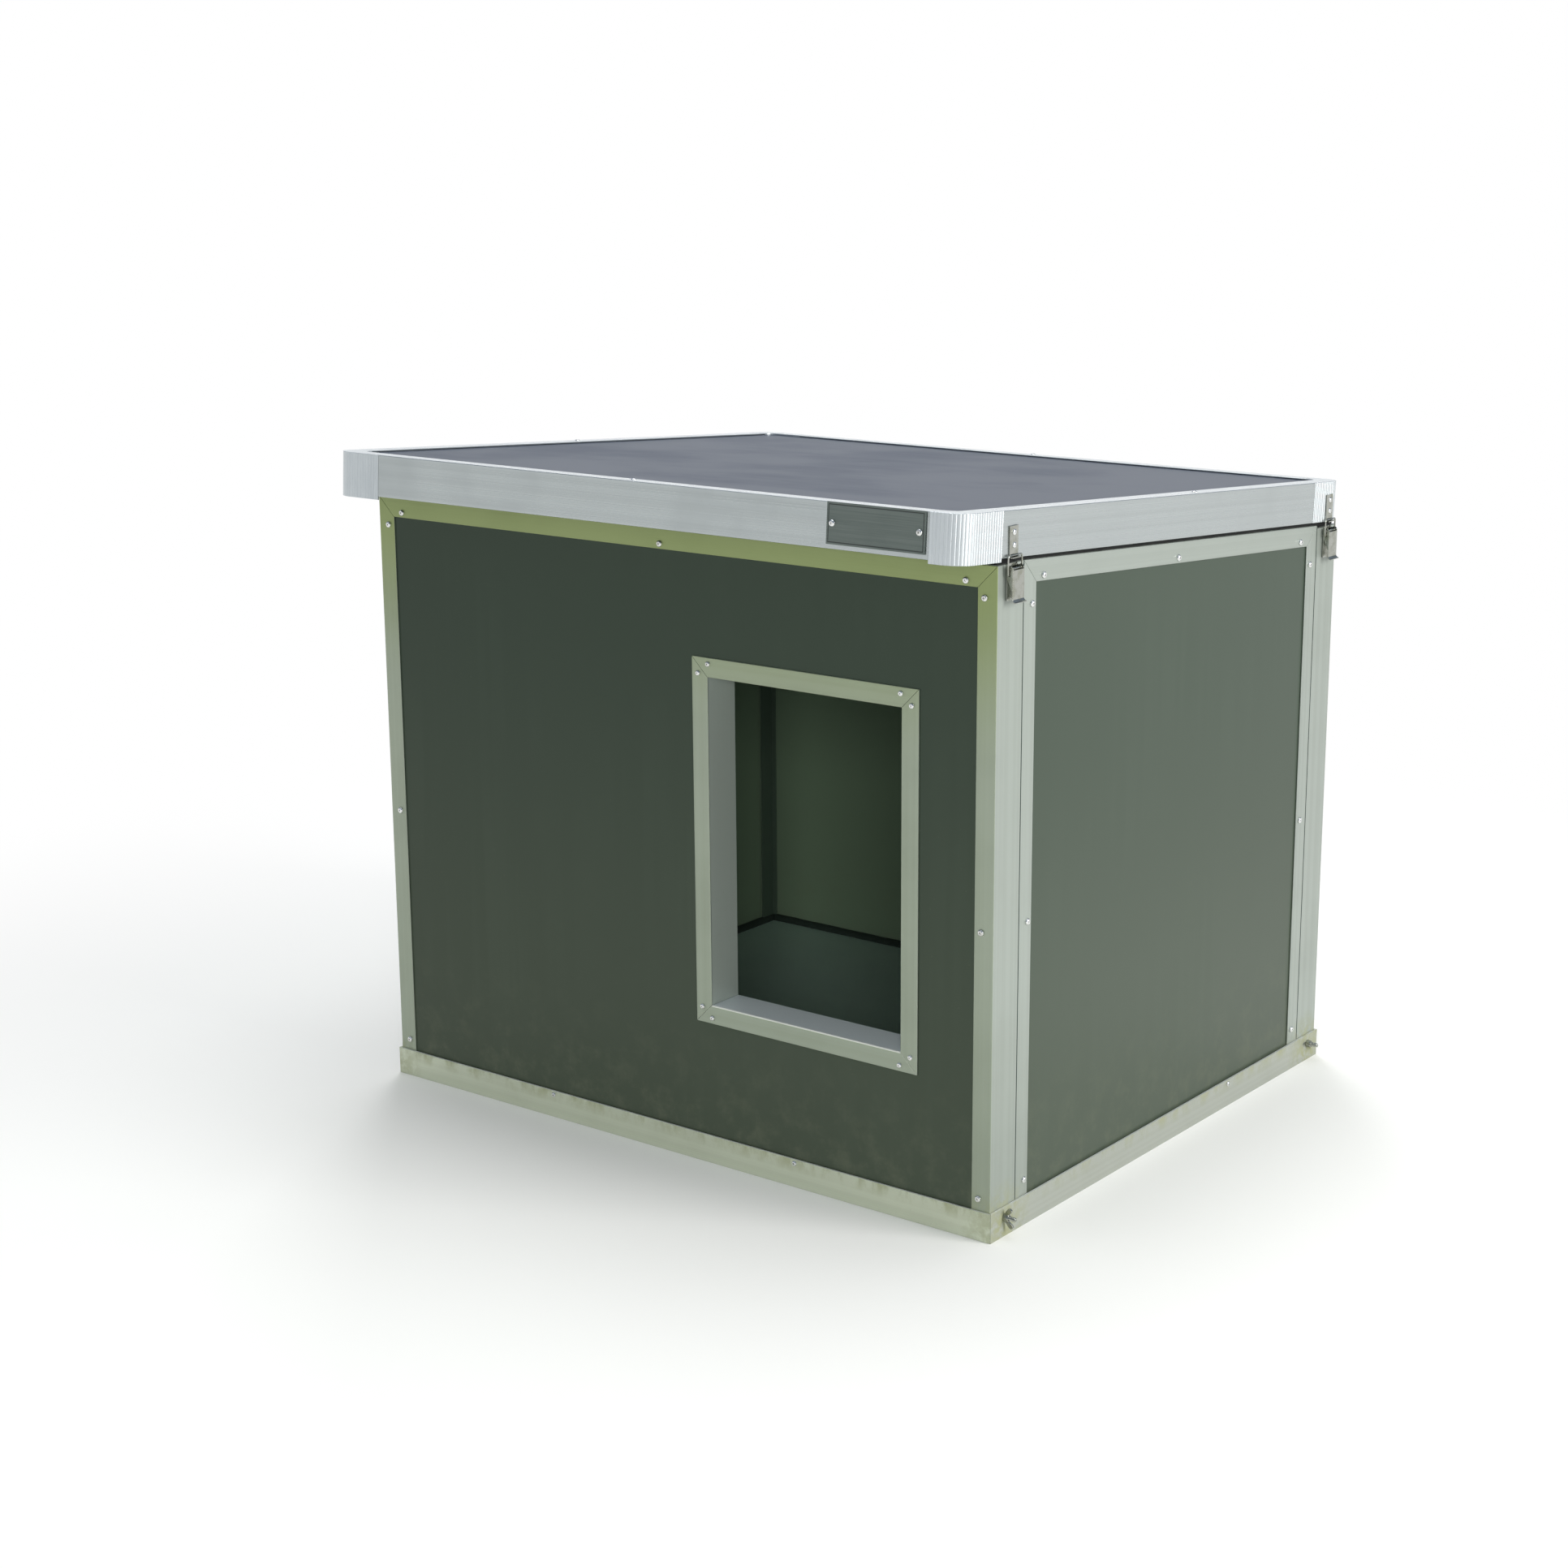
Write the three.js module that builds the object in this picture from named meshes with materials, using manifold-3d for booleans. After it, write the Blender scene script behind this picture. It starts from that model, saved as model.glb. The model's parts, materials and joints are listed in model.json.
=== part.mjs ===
// Insulated dog house of sandwich panels in aluminium profiles, with a lift-off roof.
// Millimetres, +Z up. The front, with the doorway, faces -Y. The house stands on z = 0.

import * as THREE from 'three';
import { mergeVertices } from 'three/addons/utils/BufferGeometryUtils.js';
import Module from 'manifold-3d';

const wasm = await Module();
wasm.setup();

// ---------------------------------------------------------------------------
// Driving dimensions
// ---------------------------------------------------------------------------

// House body, over the outside of the walls.
const bodyWidth = 1000;
const bodyDepth = 840;
const frontHeight = 829; // top of the side walls at the front face, above the ground
const roofSlope = THREE.MathUtils.degToRad(4); // falls to the rear

// Gap between pieces that touch, and how far a cutting shape passes through.
const fitGap = 0.3;
const cutOver = 1;

// Sandwich panels and the U-profiles that hold their edges.
const panelThickness = 50;
const floorThickness = 44;
const profileWall = 2;
const flangeWidth = 27;

// Base tray of mitred angles.
const angleThickness = 3;
const angleUpstand = 38;
const angleFoot = 80;

// Doorway: its clear opening and the trim around it.
const doorWidth = 296;
const doorHeight = 429;
const doorSillHeight = 215;
const doorToSide = 133; // from the opening to the right side of the house
const doorFlange = 25;

// Roof.
const roofFrontOverhang = 80;
const roofRearOverhang = 11;
const roofSideOverhang = 2.2;
const sealThickness = 3.9;
const sealInset = 4;
const sealWidth = 46;
const roofCornerRadius = 30;
const bandInnerRadius = 14;
const cornerShortLeg = 43;
const cornerLongLeg = 84;
const ribPitch = 5;
const ribDepth = 0.8;
const ribCrestShare = 0.55; // the flat crest's part of a pitch

// Blank name plate on the front of the roof.
const plateWidth = 138.5;
const plateHeight = 49;
const plateThickness = 1.5;
const plateToCorner = 3.7;

// Toggle latches. Heights count from the underside of the roof at the latch.
const latchSheet = 1.5;
const catchHalfWidth = 8.75;
const catchTop = 37.4;
const ledgeBottom = 0.4;
const ledgeReach = 4.2;
const wireRadius = 1.2;
const crossbarHeight = 3.7;
const pivotDrop = 11.6;
const overCentre = 1; // how far the closed bail's pivots lie inside the lever's
const bailPivotDrop = 7; // below the lever's pivot
const bailFootBend = 1.4; // radius of the wire's bend into the cheeks
const bailTopBend = 2.8;
const bailSideGap = 1; // from a cheek to the wire beside it
const pivotPinRadius = 1.5;
const earRadius = 2.2;
const earAbovePivot = 4.4; // where each ear meets the base plate
const earBelowPivot = 6.6;
const leverHalfWidth = 12;
const leverSheet = 1.3;
const leverPlateDrop = 1; // from the pivot to the plate's upper edge
const leverLength = 34; // from the pivot to the start of the lip
const lipRadius = 4;
const cheekLength = 26;
const latchBaseAbovePivot = 6;
const latchBaseBelowPivot = 37;

// Studs and wing nuts that hold the base to the walls.
const studRadius = 3;
const studHeight = 25;
const studInside = 14; // how far the stud reaches into the wall
const studOutside = 20;
const nutHubRadius = 5.5;
const nutHubLength = 7;
const nutWingReach = 14;
const nutWingHeight = 12;
const nutWingThickness = 2.4;
const nutWingInset = 1; // from the ends of the hub to the root of a wing
// A wing's outline: how far out of the hub's seat and how far across, as fractions.
const nutWingShape = [[0.3, 0.7], [0.55, 0.97], [0.8, 1], [1, 0.85], [0.9, 0.6]];
const nutHubTaper = 0.8; // the hub's outer radius to its inner one

// Facets of a full circle, and of a quarter round.
const roundSides = 12;
const cornerSteps = 8;

// ---------------------------------------------------------------------------
// Dimensions that follow
// ---------------------------------------------------------------------------

const edgeInset = profileWall + fitGap; // from a wall's outline to its panel's edge
const wallThickness = panelThickness + 2 * edgeInset;
const wallBottom = angleThickness + fitGap;
const slopeRise = Math.tan(roofSlope);
const wallTop = (y) => frontHeight - slopeRise * y;
const roofUndersideFront = frontHeight + (sealThickness + 2 * fitGap) / Math.cos(roofSlope);
const roofUnderside = (y) => roofUndersideFront - slopeRise * y;
const halfWidth = bodyWidth / 2;
const doorCentreX = halfWidth - doorToSide - doorWidth / 2;
const roofHalfWidth = halfWidth + roofSideOverhang;
const roofFrontY = -roofFrontOverhang;
const roofRearY = (bodyDepth + roofRearOverhang) / Math.cos(roofSlope);
const cornerSkirt = sealThickness + fitGap; // how far a front corner piece hangs below the roof

// ---------------------------------------------------------------------------
// Materials
// ---------------------------------------------------------------------------

const paint = (color, roughness, metalness) =>
  new THREE.MeshStandardMaterial({ color, roughness, metalness });
const laminate = paint(0x515c54, 0.35, 0);
const roofLaminate = paint(0x6d7680, 0.25, 0);
const floorLaminate = paint(0x4c5650, 0.5, 0);
const aluminium = paint(0xc3c9c8, 0.35, 0.9);
const stainless = paint(0xd2d4d6, 0.15, 1);
const rubber = paint(0x121313, 0.9, 0);
const darkSteel = paint(0x5a6669, 0.4, 0.8);

// ---------------------------------------------------------------------------
// Shape helpers
// ---------------------------------------------------------------------------

// A closed geometry as a solid that can be cut and joined.
function solidFrom(geometry) {
  const bare = geometry.clone();
  bare.deleteAttribute('normal');
  bare.deleteAttribute('uv');
  const merged = mergeVertices(bare, 1e-4);
  return new wasm.Manifold(new wasm.Mesh({
    numProp: 3,
    vertProperties: new Float32Array(merged.attributes.position.array),
    triVerts: new Uint32Array(merged.index.array),
  }));
}

function geometryFrom(solid) {
  const { vertProperties, triVerts } = solid.getMesh();
  const indexed = new THREE.BufferGeometry();
  indexed.setAttribute('position', new THREE.BufferAttribute(vertProperties, 3));
  indexed.setIndex(new THREE.BufferAttribute(triVerts, 1));
  const faceted = indexed.toNonIndexed();
  faceted.computeVertexNormals();
  return faceted;
}

function piece(name, solid, material) {
  const mesh = new THREE.Mesh(geometryFrom(solid), material);
  mesh.name = name;
  return mesh;
}

const unitX = new THREE.Vector3(1, 0, 0);
const unitY = new THREE.Vector3(0, 1, 0);
const unitZ = new THREE.Vector3(0, 0, 1);
const drawingPlanes = {
  xy: new THREE.Matrix4(),
  yz: new THREE.Matrix4().makeBasis(unitY, unitZ, unitX),
  xz: new THREE.Matrix4().makeBasis(unitX, unitZ, unitY.clone().negate()),
};

// An outline drawn in a plane and extruded along the third axis, between two places on it.
function prism(plane, outline, from, to) {
  const shape = new THREE.Shape(outline.map(([a, b]) => new THREE.Vector2(a, b)));
  const geometry = new THREE.ExtrudeGeometry(shape, { depth: to - from, bevelEnabled: false });
  geometry.translate(0, 0, plane === 'xz' ? -to : from);
  return solidFrom(geometry.applyMatrix4(drawingPlanes[plane]));
}

const rectangle = (a0, b0, a1, b1) => [[a0, b0], [a1, b0], [a1, b1], [a0, b1]];

const block = (x0, y0, z0, x1, y1, z1) => prism('xy', rectangle(x0, y0, x1, y1), z0, z1);

// Moves each edge of a counter-clockwise convex outline inwards by its own distance.
function inset(outline, distances) {
  const count = outline.length;
  const lines = outline.map(([a, b], k) => {
    const [c, d] = outline[(k + 1) % count];
    const length = Math.hypot(c - a, d - b);
    const along = [(c - a) / length, (d - b) / length];
    const distance = Array.isArray(distances) ? distances[k] : distances;
    return { at: [a - along[1] * distance, b + along[0] * distance], along };
  });
  return lines.map((line, k) => {
    const before = lines[(k + count - 1) % count];
    const cross = before.along[0] * line.along[1] - before.along[1] * line.along[0];
    const da = line.at[0] - before.at[0];
    const db = line.at[1] - before.at[1];
    const reach = (da * line.along[1] - db * line.along[0]) / cross;
    return [before.at[0] + before.along[0] * reach, before.at[1] + before.along[1] * reach];
  });
}

// The part of a frame along one edge, cut at its ends on the lines from outer to inner corners.
// A mitred end keeps half of the fit gap, and an open end runs on.
function memberOf(frame, plane, outer, inner, edge, depth, startMitred = true, endMitred = true) {
  const next = (edge + 1) % outer.length;
  const wedge = [outer[edge], outer[next], inner[next], inner[edge]];
  const endCut = (mitred) => (mitred ? fitGap / 2 : -cutOver);
  const widened = inset(wedge, [-cutOver, endCut(endMitred), -cutOver, endCut(startMitred)]);
  return frame.intersect(prism(plane, widened, depth[0] - cutOver, depth[1] + cutOver));
}

function arc(centreA, centreB, radius, fromDegrees, toDegrees, steps) {
  return Array.from({ length: steps + 1 }, (_, k) => {
    const angle = THREE.MathUtils.degToRad(fromDegrees + ((toDegrees - fromDegrees) * k) / steps);
    return [centreA + radius * Math.cos(angle), centreB + radius * Math.sin(angle)];
  });
}

// A round bar between two places on the X or Y axis.
function bar(axis, radius, from, to, sides = roundSides) {
  const geometry = new THREE.CylinderGeometry(radius, radius, to - from, sides);
  geometry.translate(0, (from + to) / 2, 0);
  if (axis === 'x') geometry.rotateZ(-Math.PI / 2);
  return solidFrom(geometry);
}

// ---------------------------------------------------------------------------
// Base tray and floor
// ---------------------------------------------------------------------------

const house = new THREE.Group();
const sides = ['front', 'right', 'rear', 'left'];
const corners = [
  { name: 'front_right', x: 1, front: true },
  { name: 'rear_right', x: 1, front: false },
  { name: 'rear_left', x: -1, front: false },
  { name: 'front_left', x: -1, front: true },
];
const cornerY = (corner) => (corner.front ? wallThickness / 2 : bodyDepth - wallThickness / 2);

// The bores for the studs, through the base angles and into the ends of the walls.
const studBores = corners
  .map((corner) => {
    const outside = halfWidth + studOutside;
    const inside = halfWidth - studInside - fitGap;
    const ends = corner.x > 0 ? [inside, outside] : [-outside, -inside];
    return bar('x', studRadius + fitGap, ...ends).translate([0, cornerY(corner), studHeight]);
  })
  .reduce((all, bore) => all.add(bore));

{
  const proud = fitGap + angleThickness;
  const outer = rectangle(-halfWidth - proud, -proud, halfWidth + proud, bodyDepth + proud);
  const inner = inset(outer, angleFoot);
  const tray = prism('xy', outer, 0, angleUpstand)
    .subtract(prism('xy', inset(outer, angleThickness), angleThickness, angleUpstand + cutOver))
    .subtract(prism('xy', inner, -cutOver, angleThickness + cutOver))
    .subtract(studBores);
  sides.forEach((side, edge) => {
    const angle = memberOf(tray, 'xy', outer, inner, edge, [0, angleUpstand]);
    house.add(piece(`base_angle_${side}`, angle, aluminium));
  });

  const roomInset = wallThickness + fitGap;
  const floor = block(
    -halfWidth + roomInset, roomInset, wallBottom,
    halfWidth - roomInset, bodyDepth - roomInset, wallBottom + floorThickness,
  );
  house.add(piece('floor_panel', floor, floorLaminate));
}

// ---------------------------------------------------------------------------
// Walls: a panel in U-profiles at its left, right and top edges
// ---------------------------------------------------------------------------

// Distances for the edges of a wall's outline, whose bottom edge has no profile.
const openBelow = (distance) => [-cutOver, distance, distance, distance];

// A cut-out shape is taken from the panel.
function addWall(name, plane, outline, depth, cutOut) {
  const [near, far] = depth;
  const window = inset(outline, openBelow(flangeWidth));
  const slot = inset(outline, openBelow(profileWall));
  const frame = prism(plane, outline, near, far)
    .subtract(prism(plane, window, near - cutOver, far + cutOver))
    .subtract(prism(plane, slot, near + profileWall, far - profileWall))
    .subtract(studBores);
  const inner = inset(outline, [0, flangeWidth, flangeWidth, flangeWidth]);
  const member = (edge, ...mitred) => memberOf(frame, plane, outline, inner, edge, depth, ...mitred);
  house.add(piece(`${name}_profile_right`, member(1, false, true), aluminium));
  house.add(piece(`${name}_profile_top`, member(2, true, true), aluminium));
  house.add(piece(`${name}_profile_left`, member(3, true, false), aluminium));

  const panelOutline = inset(outline, [0, edgeInset, edgeInset, edgeInset]);
  let panel = prism(plane, panelOutline, near + edgeInset, far - edgeInset).subtract(studBores);
  if (cutOut) panel = panel.subtract(cutOut);
  house.add(piece(`${name}_panel`, panel, laminate));
}

const frontDepth = [0, wallThickness];
const rearDepth = [bodyDepth - wallThickness, bodyDepth];
const doorway = rectangle(
  doorCentreX - doorWidth / 2, doorSillHeight,
  doorCentreX + doorWidth / 2, doorSillHeight + doorHeight,
);
{
  const crossWall = (lowSideY) => rectangle(-halfWidth, wallBottom, halfWidth, wallTop(lowSideY));
  const doorHole = prism('xz', inset(doorway, -edgeInset), -cutOver, wallThickness + cutOver);
  addWall('front_wall', 'xz', crossWall(wallThickness), frontDepth, doorHole);
  addWall('rear_wall', 'xz', crossWall(bodyDepth), rearDepth);

  const sideFrontY = wallThickness + fitGap;
  const sideRearY = bodyDepth - wallThickness - fitGap;
  const sideOutline = [
    [sideFrontY, wallBottom],
    [sideRearY, wallBottom],
    [sideRearY, wallTop(sideRearY)],
    [sideFrontY, wallTop(sideFrontY)],
  ];
  addWall('right_wall', 'yz', sideOutline, [halfWidth - wallThickness, halfWidth]);
  addWall('left_wall', 'yz', sideOutline, [-halfWidth, -halfWidth + wallThickness]);
}

// The doorway's trim is the same kind of profile turned outwards: it lines the opening and
// clasps the panel from both faces.
{
  const [near, far] = frontDepth;
  const outer = inset(doorway, -doorFlange);
  const web = prism('xz', inset(doorway, -profileWall), near - cutOver, far + cutOver);
  const panelSpace = prism(
    'xz', inset(outer, -cutOver), near + profileWall, far - profileWall,
  ).subtract(web);
  const frame = prism('xz', outer, near, far)
    .subtract(prism('xz', doorway, near - cutOver, far + cutOver))
    .subtract(panelSpace);
  ['bottom', 'right', 'top', 'left'].forEach((side, edge) => {
    const trim = memberOf(frame, 'xz', outer, doorway, edge, frontDepth);
    house.add(piece(`door_trim_${side}`, trim, aluminium));
  });
}

// ---------------------------------------------------------------------------
// Seal between the walls and the roof
// ---------------------------------------------------------------------------
{
  const insideFront = wallThickness + fitGap;
  const insideRear = bodyDepth - wallThickness - fitGap;
  const outerRear = bodyDepth - sealInset;
  const lift = fitGap / Math.cos(roofSlope);
  const outline = [
    [sealInset, wallTop(wallThickness) + lift],
    [insideFront, wallTop(wallThickness) + lift],
    [insideRear, wallTop(insideRear) + lift],
    [insideRear, wallTop(bodyDepth) + lift],
    [outerRear, wallTop(bodyDepth) + lift],
    [outerRear, roofUnderside(outerRear) - lift],
    [sealInset, roofUnderside(sealInset) - lift],
  ];
  const sealHalfWidth = halfWidth - sealInset;
  const band = sealInset + sealWidth;
  const middle = block(
    -halfWidth + band, band, 0,
    halfWidth - band, bodyDepth - band, roofUndersideFront,
  );
  const seal = prism('yz', outline, -sealHalfWidth, sealHalfWidth).subtract(middle);
  house.add(piece('roof_seal', seal, rubber));
}

// ---------------------------------------------------------------------------
// Roof, drawn flat from its underside and tilted with the slope
// ---------------------------------------------------------------------------

const roof = new THREE.Group();
roof.position.z = roofUndersideFront;
roof.rotation.x = -roofSlope;
house.add(roof);

const roofOutline = rectangle(-roofHalfWidth, roofFrontY, roofHalfWidth, roofRearY);

// Puts a corner drawing onto one corner of the roof. It is drawn with u and v as the
// distances from the roof's side face and from its front or rear face.
const toRoofCorner = (corner) => ([u, v]) => [
  corner.x * (roofHalfWidth - u),
  corner.front ? roofFrontY + v : roofRearY - v,
];

// The right-hand corners have their long leg along the side, the left-hand ones across.
const sideLeg = (corner) => (corner.x > 0 ? cornerLongLeg : cornerShortLeg);
const crossLeg = (corner) => (corner.x > 0 ? cornerShortLeg : cornerLongLeg);

// The outer face of a corner piece: a leg, a quarter round and a leg, as a function of the
// length along it and the depth below its surface.
function cornerFace(crossLength, sideLength) {
  const radius = roofCornerRadius;
  const straight = crossLength - radius;
  const round = (Math.PI / 2) * radius;
  const length = straight + round + (sideLength - radius);
  const at = (along, depth) => {
    if (along < straight) return [crossLength - along, depth];
    if (along > straight + round) return [depth, radius + along - straight - round];
    const angle = (along - straight) / radius;
    const reach = radius - depth;
    return [radius - reach * Math.sin(angle), radius - reach * Math.cos(angle)];
  };
  return { length, at };
}

// A ribbed outline of the outer face: a flat crest and a V-groove in each pitch.
function ribbedFace(crossLength, sideLength) {
  const { length, at } = cornerFace(crossLength, sideLength);
  const ribs = Math.round(length / ribPitch);
  const pitch = length / ribs;
  const points = [];
  for (let rib = 0; rib < ribs; rib += 1) {
    const start = rib * pitch;
    const crestEnd = start + ribCrestShare * pitch;
    const valley = (crestEnd + start + pitch) / 2;
    points.push(at(start, 0), at(crestEnd, 0), at(valley, ribDepth));
  }
  points.push(at(length, 0));
  return points;
}

// The smooth line at a distance inside the outer face, from the side leg back to the other.
function innerFace(crossLength, sideLength, distance, radius) {
  const centre = distance + radius;
  return [
    [distance, sideLength],
    ...arc(centre, centre, radius, 180, 270, cornerSteps),
    [crossLength, distance],
  ];
}

for (const corner of corners) {
  const legs = [crossLeg(corner), sideLeg(corner)];
  const place = toRoofCorner(corner);
  const outerRound = [
    [legs[0], 0],
    ...arc(roofCornerRadius, roofCornerRadius, roofCornerRadius, 270, 180, cornerSteps),
    [0, legs[1]],
  ];
  const wallOutline = [
    ...ribbedFace(...legs),
    ...innerFace(...legs, profileWall, roofCornerRadius - profileWall),
  ];
  const bandOutline = [...outerRound, ...innerFace(...legs, flangeWidth, bandInnerRadius)];
  const wallFrom = corner.front ? -cornerSkirt : 0;
  const wall = prism('xy', wallOutline.map(place), wallFrom, wallThickness);
  const topBand = prism(
    'xy', bandOutline.map(place), wallThickness - profileWall, wallThickness,
  );
  const bottomBand = prism('xy', bandOutline.map(place), 0, profileWall);
  const solid = wall.add(topBand).add(bottomBand);
  roof.add(piece(`roof_corner_${corner.name}`, solid, aluminium));
}

{
  const frame = prism('xy', roofOutline, 0, wallThickness)
    .subtract(prism('xy', inset(roofOutline, flangeWidth), -cutOver, wallThickness + cutOver))
    .subtract(prism(
      'xy', inset(roofOutline, profileWall), profileWall, wallThickness - profileWall,
    ));
  // Each profile is cut square, and runs from one corner piece to the next.
  const cornerNamed = (name) => corners.find((corner) => corner.name === name);
  const across = flangeWidth + cutOver;
  const crossSpan = (place) => [
    -roofHalfWidth + crossLeg(cornerNamed(`${place}_left`)) + fitGap,
    roofHalfWidth - crossLeg(cornerNamed(`${place}_right`)) - fitGap,
  ];
  const sideSpan = (place) => [
    roofFrontY + sideLeg(cornerNamed(`front_${place}`)) + fitGap,
    roofRearY - sideLeg(cornerNamed(`rear_${place}`)) - fitGap,
  ];
  const [frontFrom, frontTo] = crossSpan('front');
  const [rearFrom, rearTo] = crossSpan('rear');
  const [rightFrom, rightTo] = sideSpan('right');
  const [leftFrom, leftTo] = sideSpan('left');
  const footprints = {
    front: rectangle(frontFrom, roofFrontY - cutOver, frontTo, roofFrontY + across),
    rear: rectangle(rearFrom, roofRearY - across, rearTo, roofRearY + cutOver),
    right: rectangle(roofHalfWidth - across, rightFrom, roofHalfWidth + cutOver, rightTo),
    left: rectangle(-roofHalfWidth - cutOver, leftFrom, -roofHalfWidth + across, leftTo),
  };
  for (const [side, footprint] of Object.entries(footprints)) {
    const profile = frame.intersect(
      prism('xy', footprint, -cutOver, wallThickness + cutOver),
    );
    roof.add(piece(`roof_profile_${side}`, profile, aluminium));
  }

  const radius = roofCornerRadius - edgeInset;
  const [left, front] = [-roofHalfWidth + edgeInset, roofFrontY + edgeInset];
  const [right, rear] = [roofHalfWidth - edgeInset, roofRearY - edgeInset];
  const panelOutline = [
    ...arc(left + radius, front + radius, radius, 180, 270, cornerSteps),
    ...arc(right - radius, front + radius, radius, 270, 360, cornerSteps),
    ...arc(right - radius, rear - radius, radius, 0, 90, cornerSteps),
    ...arc(left + radius, rear - radius, radius, 90, 180, cornerSteps),
  ];
  const panel = prism('xy', panelOutline, edgeInset, wallThickness - edgeInset);
  roof.add(piece('roof_panel', panel, roofLaminate));

  const plateRight = roofHalfWidth - cornerShortLeg - plateToCorner;
  const plate = block(
    plateRight - plateWidth, roofFrontY - fitGap - plateThickness, wallThickness - plateHeight,
    plateRight, roofFrontY - fitGap, wallThickness,
  );
  roof.add(piece('name_plate', plate, darkSteel));
}

// ---------------------------------------------------------------------------
// Toggle latches: a catch on the roof, and a base, a lever and a wire bail on the wall.
// They are drawn with x outwards from the wall's face and z up from the roof's underside.
// ---------------------------------------------------------------------------

const catchFace = roofSideOverhang + fitGap + latchSheet;
const latchBaseFace = fitGap + latchSheet;
const bailX = catchFace + fitGap + wireRadius;
const pivotX = bailX + overCentre;
const pivotZ = -pivotDrop;
const bailPivotZ = pivotZ - bailPivotDrop;
const cheekRadius = pivotX - latchBaseFace - 2 * fitGap;
const leverPlateInside = cheekRadius - leverSheet;
const cheekInside = leverHalfWidth - leverSheet;
const earOutside = cheekInside - fitGap;
const earInside = earOutside - leverSheet;
const bailHalfWidth = leverHalfWidth + bailSideGap + wireRadius;
const bailHoleRadius = wireRadius + fitGap;

// The catch is a strip with a ledge under which the roof is pulled down.
function latchCatch() {
  const outline = [
    [catchFace - latchSheet, ledgeBottom],
    [catchFace + ledgeReach, ledgeBottom],
    [catchFace + ledgeReach, ledgeBottom + latchSheet],
    [catchFace, ledgeBottom + latchSheet],
    [catchFace, catchTop],
    [catchFace - latchSheet, catchTop],
  ];
  return prism('xz', outline, -catchHalfWidth, catchHalfWidth);
}

// The base is a plate with two ears, and the pivot pin that is riveted into them.
function latchBase() {
  const plate = block(
    fitGap, -earOutside, pivotZ - latchBaseBelowPivot,
    latchBaseFace, earOutside, pivotZ + latchBaseAbovePivot,
  );
  const earOutline = [
    [fitGap, pivotZ - earBelowPivot],
    ...arc(pivotX, pivotZ, earRadius, -90, 90, cornerSteps),
    [fitGap, pivotZ + earAbovePivot],
  ];
  const ear = (from) => prism('xz', earOutline, from, from + leverSheet);
  const pinEnd = leverHalfWidth + 2 * fitGap;
  const pin = bar('y', pivotPinRadius, -pinEnd, pinEnd).translate([pivotX, 0, pivotZ]);
  return plate.add(ear(-earOutside)).add(ear(earInside)).add(pin);
}

// The lever is a plate with a lip, and two cheeks that turn on the pivot pin.
function latchLever() {
  const inside = pivotX + leverPlateInside;
  const outside = pivotX + cheekRadius;
  const lipZ = pivotZ - leverLength;
  const lipX = outside + lipRadius;
  const plateOutline = [
    [outside, pivotZ - leverPlateDrop],
    [inside, pivotZ - leverPlateDrop],
    ...arc(lipX, lipZ, lipRadius + leverSheet, 180, 270, cornerSteps),
    ...arc(lipX, lipZ, lipRadius, 270, 180, cornerSteps),
  ];
  const cheekOutline = [
    ...arc(pivotX, pivotZ, cheekRadius, 0, 180, cornerSteps),
    [pivotX - cheekRadius, bailPivotZ - cheekRadius],
    [inside, pivotZ - cheekLength],
    [outside, pivotZ - cheekLength],
  ];
  const cheek = (from) => prism('xz', cheekOutline, from, from + leverSheet);
  const across = leverHalfWidth + cutOver;
  const pinHole = bar('y', pivotPinRadius + fitGap, -across, across)
    .translate([pivotX, 0, pivotZ]);
  const bailHole = bar('y', bailHoleRadius, -across, across).translate([bailX, 0, bailPivotZ]);
  return prism('xz', plateOutline, -leverHalfWidth, leverHalfWidth)
    .add(cheek(-leverHalfWidth))
    .add(cheek(cheekInside))
    .subtract(pinHole)
    .subtract(bailHole);
}

// A wire of even thickness along a route in a plane of constant x, as rings of points that
// stand on the bisectors of its bends.
function bentWire(x, route, radius, ringSides) {
  const points = route.map(([y, z]) => new THREE.Vector3(x, y, z));
  const positions = [];
  const rings = points.map((point, k) => {
    const before = point.clone().sub(points[Math.max(k - 1, 0)]);
    const after = points[Math.min(k + 1, points.length - 1)].clone().sub(point);
    const tangent = before.normalize().add(after.normalize()).normalize();
    const sideways = new THREE.Vector3().crossVectors(unitX, tangent);
    const bend = k === 0 || k === points.length - 1 ? 1 : tangent.dot(after);
    return Array.from({ length: ringSides }, (_, n) => {
      const angle = (2 * Math.PI * n) / ringSides;
      return point.clone()
        .addScaledVector(unitX, radius * Math.cos(angle))
        .addScaledVector(sideways, (radius * Math.sin(angle)) / bend);
    });
  });
  const triangle = (...points3) => points3.forEach((p) => positions.push(p.x, p.y, p.z));
  for (let k = 0; k + 1 < rings.length; k += 1) {
    for (let n = 0; n < ringSides; n += 1) {
      const m = (n + 1) % ringSides;
      triangle(rings[k][n], rings[k + 1][m], rings[k][m]);
      triangle(rings[k][n], rings[k + 1][n], rings[k + 1][m]);
    }
  }
  const last = rings.length - 1;
  for (let n = 0; n < ringSides; n += 1) {
    const m = (n + 1) % ringSides;
    triangle(points[0], rings[0][n], rings[0][m]);
    triangle(points[last], rings[last][m], rings[last][n]);
  }
  const geometry = new THREE.BufferGeometry();
  geometry.setAttribute('position', new THREE.Float32BufferAttribute(positions, 3));
  return solidFrom(geometry);
}

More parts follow.
